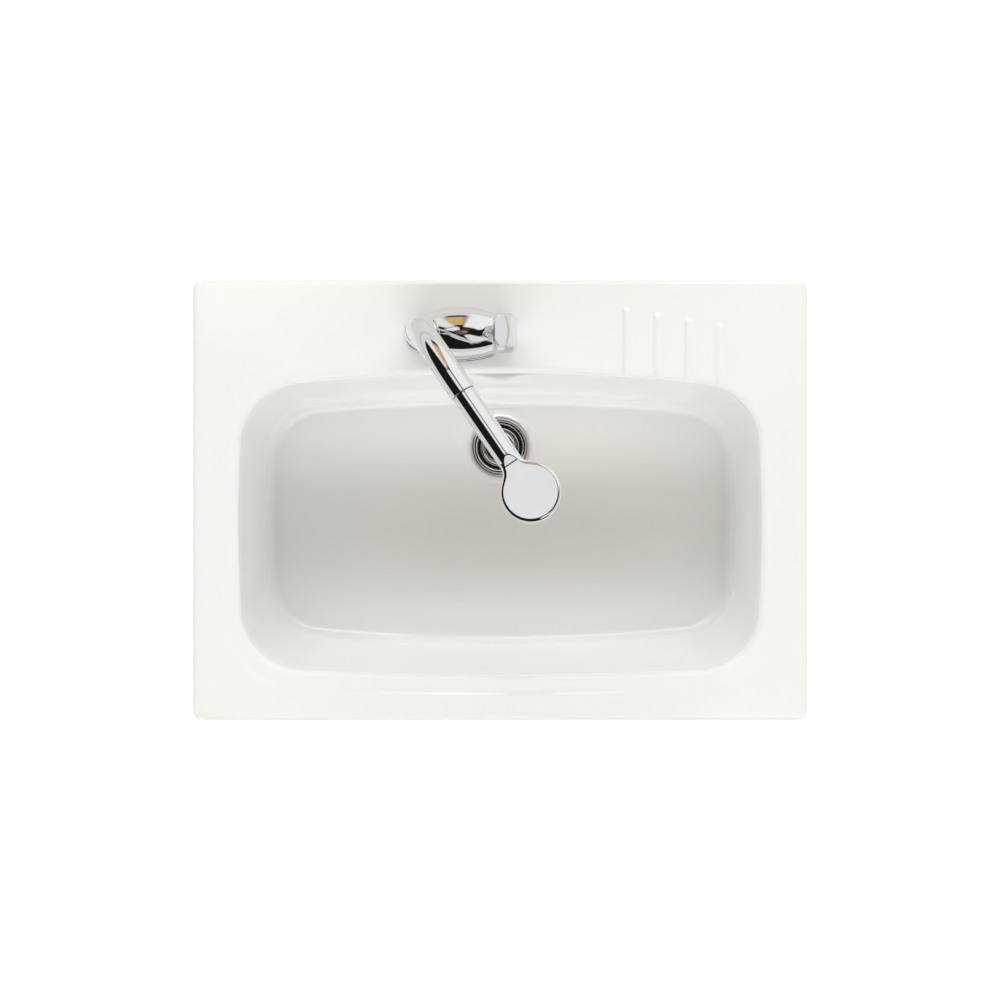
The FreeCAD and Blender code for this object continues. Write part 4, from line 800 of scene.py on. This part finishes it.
def make_nut(name, node, flats, bore_r, step, slot):
    low, high, place = over_node(node)
    side = flats * NUT_MARGIN
    field = hex_nut_field(flats, bore_r, low, high)
    nut = field_piece(name, field, (-side, -side, low - 1), (side, side, high + 1), step, place)
    piece(nut, "sink", slot, node)


def make_stud():
    low, high, place = over_node("tap_fixing_stud")
    profile = [(AXIS_GAP, low), (STUD_TIP_R, low), (STUD_R, low + STUD_CUT), (STUD_R, high - STUD_CUT),
               (STUD_TIP_R, high), (AXIS_GAP, high)]
    thread = thread_wave(STUD_PITCH, STUD_THREAD_DEPTH)
    stud = turned("fixing_stud", threaded(profile, step=0.12), place, around=48, wobble=thread, solid=True)
    piece(stud, "sink", "zinc_steel", "tap_fixing_stud")


# Materials: colour, gloss and relief drift with noise at the size the real finish shows
NOISE_LOW, NOISE_HIGH = 0.3, 0.7


def finish(name, colours, roughness, drift, relief, metallic=0.0, stretch=(1, 1, 1), sockets=None):
    """drift is the size of the slow colour change, relief the size and depth of the fine surface (m)."""
    mat = bpy.data.materials.new(name)
    mat.use_nodes = True
    nodes, links = mat.node_tree.nodes, mat.node_tree.links
    shader = nodes["Principled BSDF"]
    shader.inputs["Metallic"].default_value = metallic
    for socket, value in (sockets or {}).items():
        shader.inputs[socket].default_value = value
    mapping = nodes.new("ShaderNodeMapping")
    mapping.inputs["Scale"].default_value = stretch
    links.new(nodes.new("ShaderNodeTexCoord").outputs["Object"], mapping.inputs["Vector"])

    def noise(size, detail):
        node = nodes.new("ShaderNodeTexNoise")
        node.inputs["Scale"].default_value = 1 / size
        node.inputs["Detail"].default_value = detail
        links.new(mapping.outputs["Vector"], node.inputs["Vector"])
        return node.outputs["Fac"]

    slow = noise(drift, detail=4)
    fine = noise(relief[0], detail=3)
    ramp = nodes.new("ShaderNodeValToRGB")
    for stop, position, colour in zip(ramp.color_ramp.elements, (NOISE_LOW, NOISE_HIGH), colours):
        stop.position = position
        stop.color = (*colour, 1)
    links.new(slow, ramp.inputs["Fac"])
    links.new(ramp.outputs["Color"], shader.inputs["Base Color"])
    gloss = nodes.new("ShaderNodeMapRange")
    gloss.inputs["From Min"].default_value, gloss.inputs["From Max"].default_value = NOISE_LOW, NOISE_HIGH
    gloss.inputs["To Min"].default_value, gloss.inputs["To Max"].default_value = roughness
    links.new(slow, gloss.inputs["Value"])
    links.new(gloss.outputs["Result"], shader.inputs["Roughness"])
    bump = nodes.new("ShaderNodeBump")
    bump.inputs["Distance"].default_value = relief[1]
    links.new(fine, bump.inputs["Height"])
    links.new(bump.outputs["Normal"], shader.inputs["Normal"])
    return mat


glaze = finish("white_glaze", ((0.92, 0.92, 0.914), (0.907, 0.907, 0.9)), (0.06, 0.1), 0.09, (0.012, 4e-6),
               sockets={"IOR": 1.52, "Coat Weight": 0.25, "Coat Roughness": 0.03})
bisque = finish("bare_foot", ((0.78, 0.74, 0.66), (0.69, 0.64, 0.55)), (0.7, 0.85), 0.02, (0.0008, 6e-5))
under_glaze = finish("thin_glaze_below", ((0.83, 0.82, 0.79), (0.77, 0.76, 0.72)), (0.3, 0.5), 0.04,
                     (0.004, 3e-5))
finishes = {
    "glazed_ceramic": glaze,
    "chrome_plate": finish("polished_chrome", ((0.83, 0.835, 0.845), (0.8, 0.805, 0.815)), (0.03, 0.06), 0.03,
                           (0.01, 1.5e-6), metallic=1.0),
    "yellow_brass": finish("machined_brass", ((0.75, 0.6, 0.32), (0.66, 0.5, 0.24)), (0.22, 0.36), 0.02,
                           (0.0012, 8e-6), metallic=1.0, stretch=(1, 1, 8)),
    "stainless_steel": finish("brushed_steel", ((0.68, 0.68, 0.67), (0.58, 0.58, 0.58)), (0.22, 0.36), 0.015,
                              (0.0008, 6e-6), metallic=1.0, stretch=(12, 1, 1)),
    "zinc_steel": finish("zinc_plate", ((0.66, 0.67, 0.68), (0.52, 0.53, 0.52)), (0.3, 0.46), 0.006,
                         (0.001, 1e-5), metallic=1.0),
    "black_rubber": finish("moulded_rubber", ((0.022, 0.022, 0.023), (0.04, 0.04, 0.04)), (0.5, 0.68), 0.006,
                           (0.0005, 2e-5)),
    "grey_silicone": finish("soft_silicone", ((0.4, 0.41, 0.42), (0.33, 0.34, 0.35)), (0.42, 0.55), 0.008,
                            (0.0008, 1e-5)),
    "white_acetal": finish("milky_acetal", ((0.82, 0.81, 0.77), (0.75, 0.74, 0.7)), (0.3, 0.42), 0.01,
                           (0.0015, 8e-6)),
    "grey_plastic": finish("fine_grained_plastic", ((0.2, 0.205, 0.21), (0.15, 0.153, 0.157)), (0.38, 0.5),
                           0.008, (0.0006, 2e-5)),
    "valve_ceramic": finish("lapped_alumina", ((0.86, 0.82, 0.8), (0.8, 0.77, 0.75)), (0.1, 0.2), 0.01,
                            (0.001, 1e-6)),
}

# Every solid that stays in view takes the finish of its slot
for part in frame["record"]["subparts"]:
    cad = frame["nodes"][part["node"]]
    cad.data.materials.clear()
    cad.data.materials.append(finishes[part["material_slot"]])

# Castings: field, the box it is searched in, the size of its cells, placer, body and node
CASTINGS = {
    "tap_casting": (tap_body_field, (-48, -29, -10), (43, 29, 61), 0.55, on_tap, "sink", "tap_body"),
    "lever_casting": (lever_field, (35, -27, 0), (66, 27, 77), 0.5, on_tap, "lever", "lever_handle"),
    "handset_casting": (handset_field, (-1, -30, -13), (144, 30, 13), 0.6, on_seam, "handset",
                        "handset_shell"),
}
basin = make_basin()
for name, (field, low, high, step, place, body, node) in CASTINGS.items():
    piece(field_piece(name, field, low, high, step, place), body, "chrome_plate", node)
make_neck()
make_waste()
make_stopper()
make_nut("waste_back_nut", "waste_backnut", flats=52.0, bore_r=20.95, step=0.7, slot="white_acetal")
make_nut("fixing_nut", "tap_fixing_nut", flats=13.0, bore_r=4.0, step=0.35, slot="yellow_brass")
make_stud()

# Studio: pale floor, soft light from both ends, a far room that only mirrors see, and a camera straight above
FLOOR_SIZE, FLOOR_GAP, FLOOR_GLOW, FLOOR_GLOW_IN_MIRRORS = 8.0, 0.0005, 0.55, 0.1
SKY_LOW, SKY_HIGH = (0.515, 0.535, 0.56), (0.35, 0.325, 0.268)
SKY_HEIGHTS = (0.2, 0.85)
WHITE = (1, 1, 1, 1)
ROOM_RADIUS, ROOM_DARK, ROOM_SKY = 4000.0, (0.012, 0.011, 0.01, 1.0), (0.6, 0.6, 0.58, 1)
HEADING_EDGE, SLOPE_EDGE = 4.0, 2.5
# Parts of the room, each over the last: colour, headings from +X and slopes from straight up, in degrees
ROOM_PARTS = (
    ((0.8, 0.8, 0.8), (-400, 400), (80, 120)),
    ((0.5, 0.5, 0.5), (-50, 40), (30, 58)),
    ((0.85, 0.85, 0.85), (-50, 40), (56, 120)),
    ((0.85, 0.85, 0.85), (-74, -40), (12, 50)),
    ((1.0, 1.0, 1.0), (30, 84), (24, 120)),
    ((0.9, 0.9, 0.89), (98, 150), (11, 25)),
    ((0.9, 0.9, 0.9), (106, 132), (27, 80)),
    ((0.72, 0.46, 0.2), (86, 109), (33, 72)),
    ((0.07, 0.04, 0.04), (45, 85), (8, 23)),
    ((0.19, 0.12, 0.105), (-400, 400), (-10, 7)),
    ((0.5, 0.32, 0.15), (5, 85), (4, 8)),
)
# Lamps in metres and watts. Of two powers, the first is for the lamp at the back or on the right.
SOFTBOX_Y, SOFTBOX_Z, SOFTBOX_SIZE, SOFTBOX_POWERS = 2.2, 1.72, (4.0, 1.1), (25.5, 19.5)
STRIP_Y, STRIP_Z, STRIP_SIZE, STRIP_POWER = 2.4, 1.92, (4.0, 0.34), 29
SIDE_X, SIDE_Z, SIDE_SIZE, SIDE_POWERS = 1.9, 0.9, (1.6, 0.7), (5, 4)
CAMERA_HEIGHT, VIEW_WIDTH, SENSOR = 2.2, 0.9756, 36.0
WHITE_BOWL_BOUNCES = 12
# Colour sockets of a Mix node, which share their names with its other sockets
MIX_A, MIX_B, MIX_RESULT = 6, 7, 2


def soft_range(value, limits, edge):
    """Share of 1 between two limits, with soft edges."""
    low, high = limits
    return smooth_step(low - edge, low + edge, value) * (1 - smooth_step(high - edge, high + edge, value))


def make_room():
    """Dim far room with bright and coloured parts, seen in mirrors; to scattered light it is a pale sky."""
    across, down = np.meshgrid(np.arange(-180, 181, 2.0), np.arange(0, 98, 1.0))
    heading, slope = np.radians(across.ravel()), np.radians(down.ravel())
    points = np.column_stack((np.sin(slope) * np.cos(heading), np.sin(slope) * np.sin(heading),
                              np.cos(slope)))
    tone = np.tile(ROOM_DARK, (len(points), 1))
    for colour, headings, slopes in ROOM_PARTS:
        share = soft_range(across, headings, HEADING_EDGE) * soft_range(down, slopes, SLOPE_EDGE)
        tone[:, :3] += share.ravel()[:, None] * (np.array(colour) - tone[:, :3])
    index = np.arange(len(points)).reshape(across.shape)
    faces = np.stack((index[:-1, :-1], index[:-1, 1:], index[1:, 1:], index[1:, :-1]), -1).reshape(-1, 4)
    room = new_object("room", points * ROOM_RADIUS, faces)
    room.data.color_attributes.new("tone", "FLOAT_COLOR", "POINT").data.foreach_set("color", tone.ravel())
    mat = bpy.data.materials.new("room")
    mat.use_nodes = True
    nodes, links = mat.node_tree.nodes, mat.node_tree.links
    glow, painted, view = (nodes.new("ShaderNode" + kind) for kind in ("Emission", "VertexColor", "Mix"))
    painted.layer_name = "tone"
    view.data_type = "RGBA"
    view.inputs[MIX_B].default_value = ROOM_SKY
    links.new(nodes.new("ShaderNodeLightPath").outputs["Diffuse Depth"], view.inputs["Factor"])
    links.new(painted.outputs["Color"], view.inputs[MIX_A])
    links.new(view.outputs[MIX_RESULT], glow.inputs["Color"])
    links.new(glow.outputs["Emission"], nodes["Material Output"].inputs["Surface"])
    room.data.materials.append(mat)
    room.visible_camera = room.visible_diffuse = room.visible_shadow = room.visible_volume_scatter = False


def level_for_view(owner, for_camera, for_mirrors):
    """Adds one level for what the camera sees and another for what mirrors and glass see."""
    nodes, links = owner.node_tree.nodes, owner.node_tree.links
    rays = nodes.new("ShaderNodeLightPath")
    levels = {"Is Camera Ray": for_camera, "Is Glossy Ray": for_mirrors, "Is Transmission Ray": for_mirrors}
    total = None
    for ray, share in levels.items():
        level = nodes.new("ShaderNodeMath")
        level.operation, level.use_clamp = "MULTIPLY_ADD", True
        level.inputs[1].default_value, level.inputs[2].default_value = share, 0.0
        links.new(rays.outputs[ray], level.inputs[0])
        if total:
            links.new(total, level.inputs[2])
        total = level.outputs[0]
    return total


def make_floor():
    mat = finish("pale_floor", ((0.9, 0.9, 0.9), (0.89, 0.89, 0.89)), (0.7, 0.8), 0.3, (0.002, 1e-5))
    shader = mat.node_tree.nodes["Principled BSDF"]
    shader.inputs["Emission Color"].default_value = WHITE
    glow = level_for_view(mat, FLOOR_GLOW, FLOOR_GLOW_IN_MIRRORS)
    mat.node_tree.links.new(glow, shader.inputs["Emission Strength"])
    corners = np.array(((-1, -1, 0), (1, -1, 0), (1, 1, 0), (-1, 1, 0))) * FLOOR_SIZE / 2
    ground = new_object("floor", corners / MM, [(0, 1, 2, 3)])
    ground.location = (0, 0, cad_box[0][2] - FLOOR_GAP)
    ground.data.materials.append(mat)


def make_world():
    """Soft sky that changes with height, and plain white for the camera and for mirrors."""
    world = bpy.data.worlds.new("studio")
    bpy.context.scene.world = world
    world.use_nodes = True
    nodes, links = world.node_tree.nodes, world.node_tree.links
    height = nodes.new("ShaderNodeSeparateXYZ")
    links.new(nodes.new("ShaderNodeTexCoord").outputs["Generated"], height.inputs[0])
    fade = nodes.new("ShaderNodeValToRGB")
    for stop, position, colour in zip(fade.color_ramp.elements, SKY_HEIGHTS, (SKY_LOW, SKY_HIGH)):
        stop.position, stop.color = position, (*colour, 1)
    links.new(height.outputs["Z"], fade.inputs["Fac"])
    view = nodes.new("ShaderNodeMix")
    view.data_type = "RGBA"
    links.new(level_for_view(world, 1.0, 1.0), view.inputs["Factor"])
    links.new(fade.outputs["Color"], view.inputs[MIX_A])
    view.inputs[MIX_B].default_value = WHITE
    links.new(view.outputs[MIX_RESULT], nodes["Background"].inputs["Color"])


def soft_light(name, place, size, power, in_reflections):
    """Area lamp that faces the middle of the sink."""
    data = bpy.data.lights.new(name, "AREA")
    data.shape, data.size, data.size_y, data.energy = "RECTANGLE", size[0], size[1], power
    lamp = bpy.data.objects.new(name, data)
    lamp.location = place
    lamp.rotation_euler = (Vector((0, 0, 0)) - Vector(place)).to_track_quat("-Z", "Y").to_euler()
    lamp.visible_glossy = in_reflections
    bpy.context.scene.collection.objects.link(lamp)
    return lamp


def make_lamps():
    """Strips give the glaze its highlights, and light only the basin, so that chrome doesn't show them."""
    ceramic_only = bpy.data.collections.new("ceramic_only")
    ceramic_only.objects.link(basin)
    for side, power, side_power in zip((1, -1), SOFTBOX_POWERS, SIDE_POWERS):
        soft_light("softbox", (0, side * SOFTBOX_Y, SOFTBOX_Z), SOFTBOX_SIZE, power, False)
        strip = soft_light("strip", (0, side * STRIP_Y, STRIP_Z), STRIP_SIZE, STRIP_POWER, True)
        strip.light_linking.receiver_collection = ceramic_only
        soft_light("side_softbox", (side * SIDE_X, 0, SIDE_Z), SIDE_SIZE, side_power, False)


make_floor()
make_world()
make_room()
make_lamps()

camera_data = bpy.data.cameras.new("photo_camera")
camera_data.sensor_width = SENSOR
camera_data.lens = SENSOR * CAMERA_HEIGHT / VIEW_WIDTH
camera = bpy.data.objects.new("photo_camera", camera_data)
camera.location = (0, 0, DECK_Z * MM + CAMERA_HEIGHT)
bpy.context.scene.collection.objects.link(camera)
bpy.context.scene.camera = camera
bpy.context.scene.view_settings.view_transform = "Standard"

# Light goes round many times in a white bowl
bpy.context.scene.cycles.max_bounces = bpy.context.scene.cycles.diffuse_bounces = WHITE_BOWL_BOUNCES
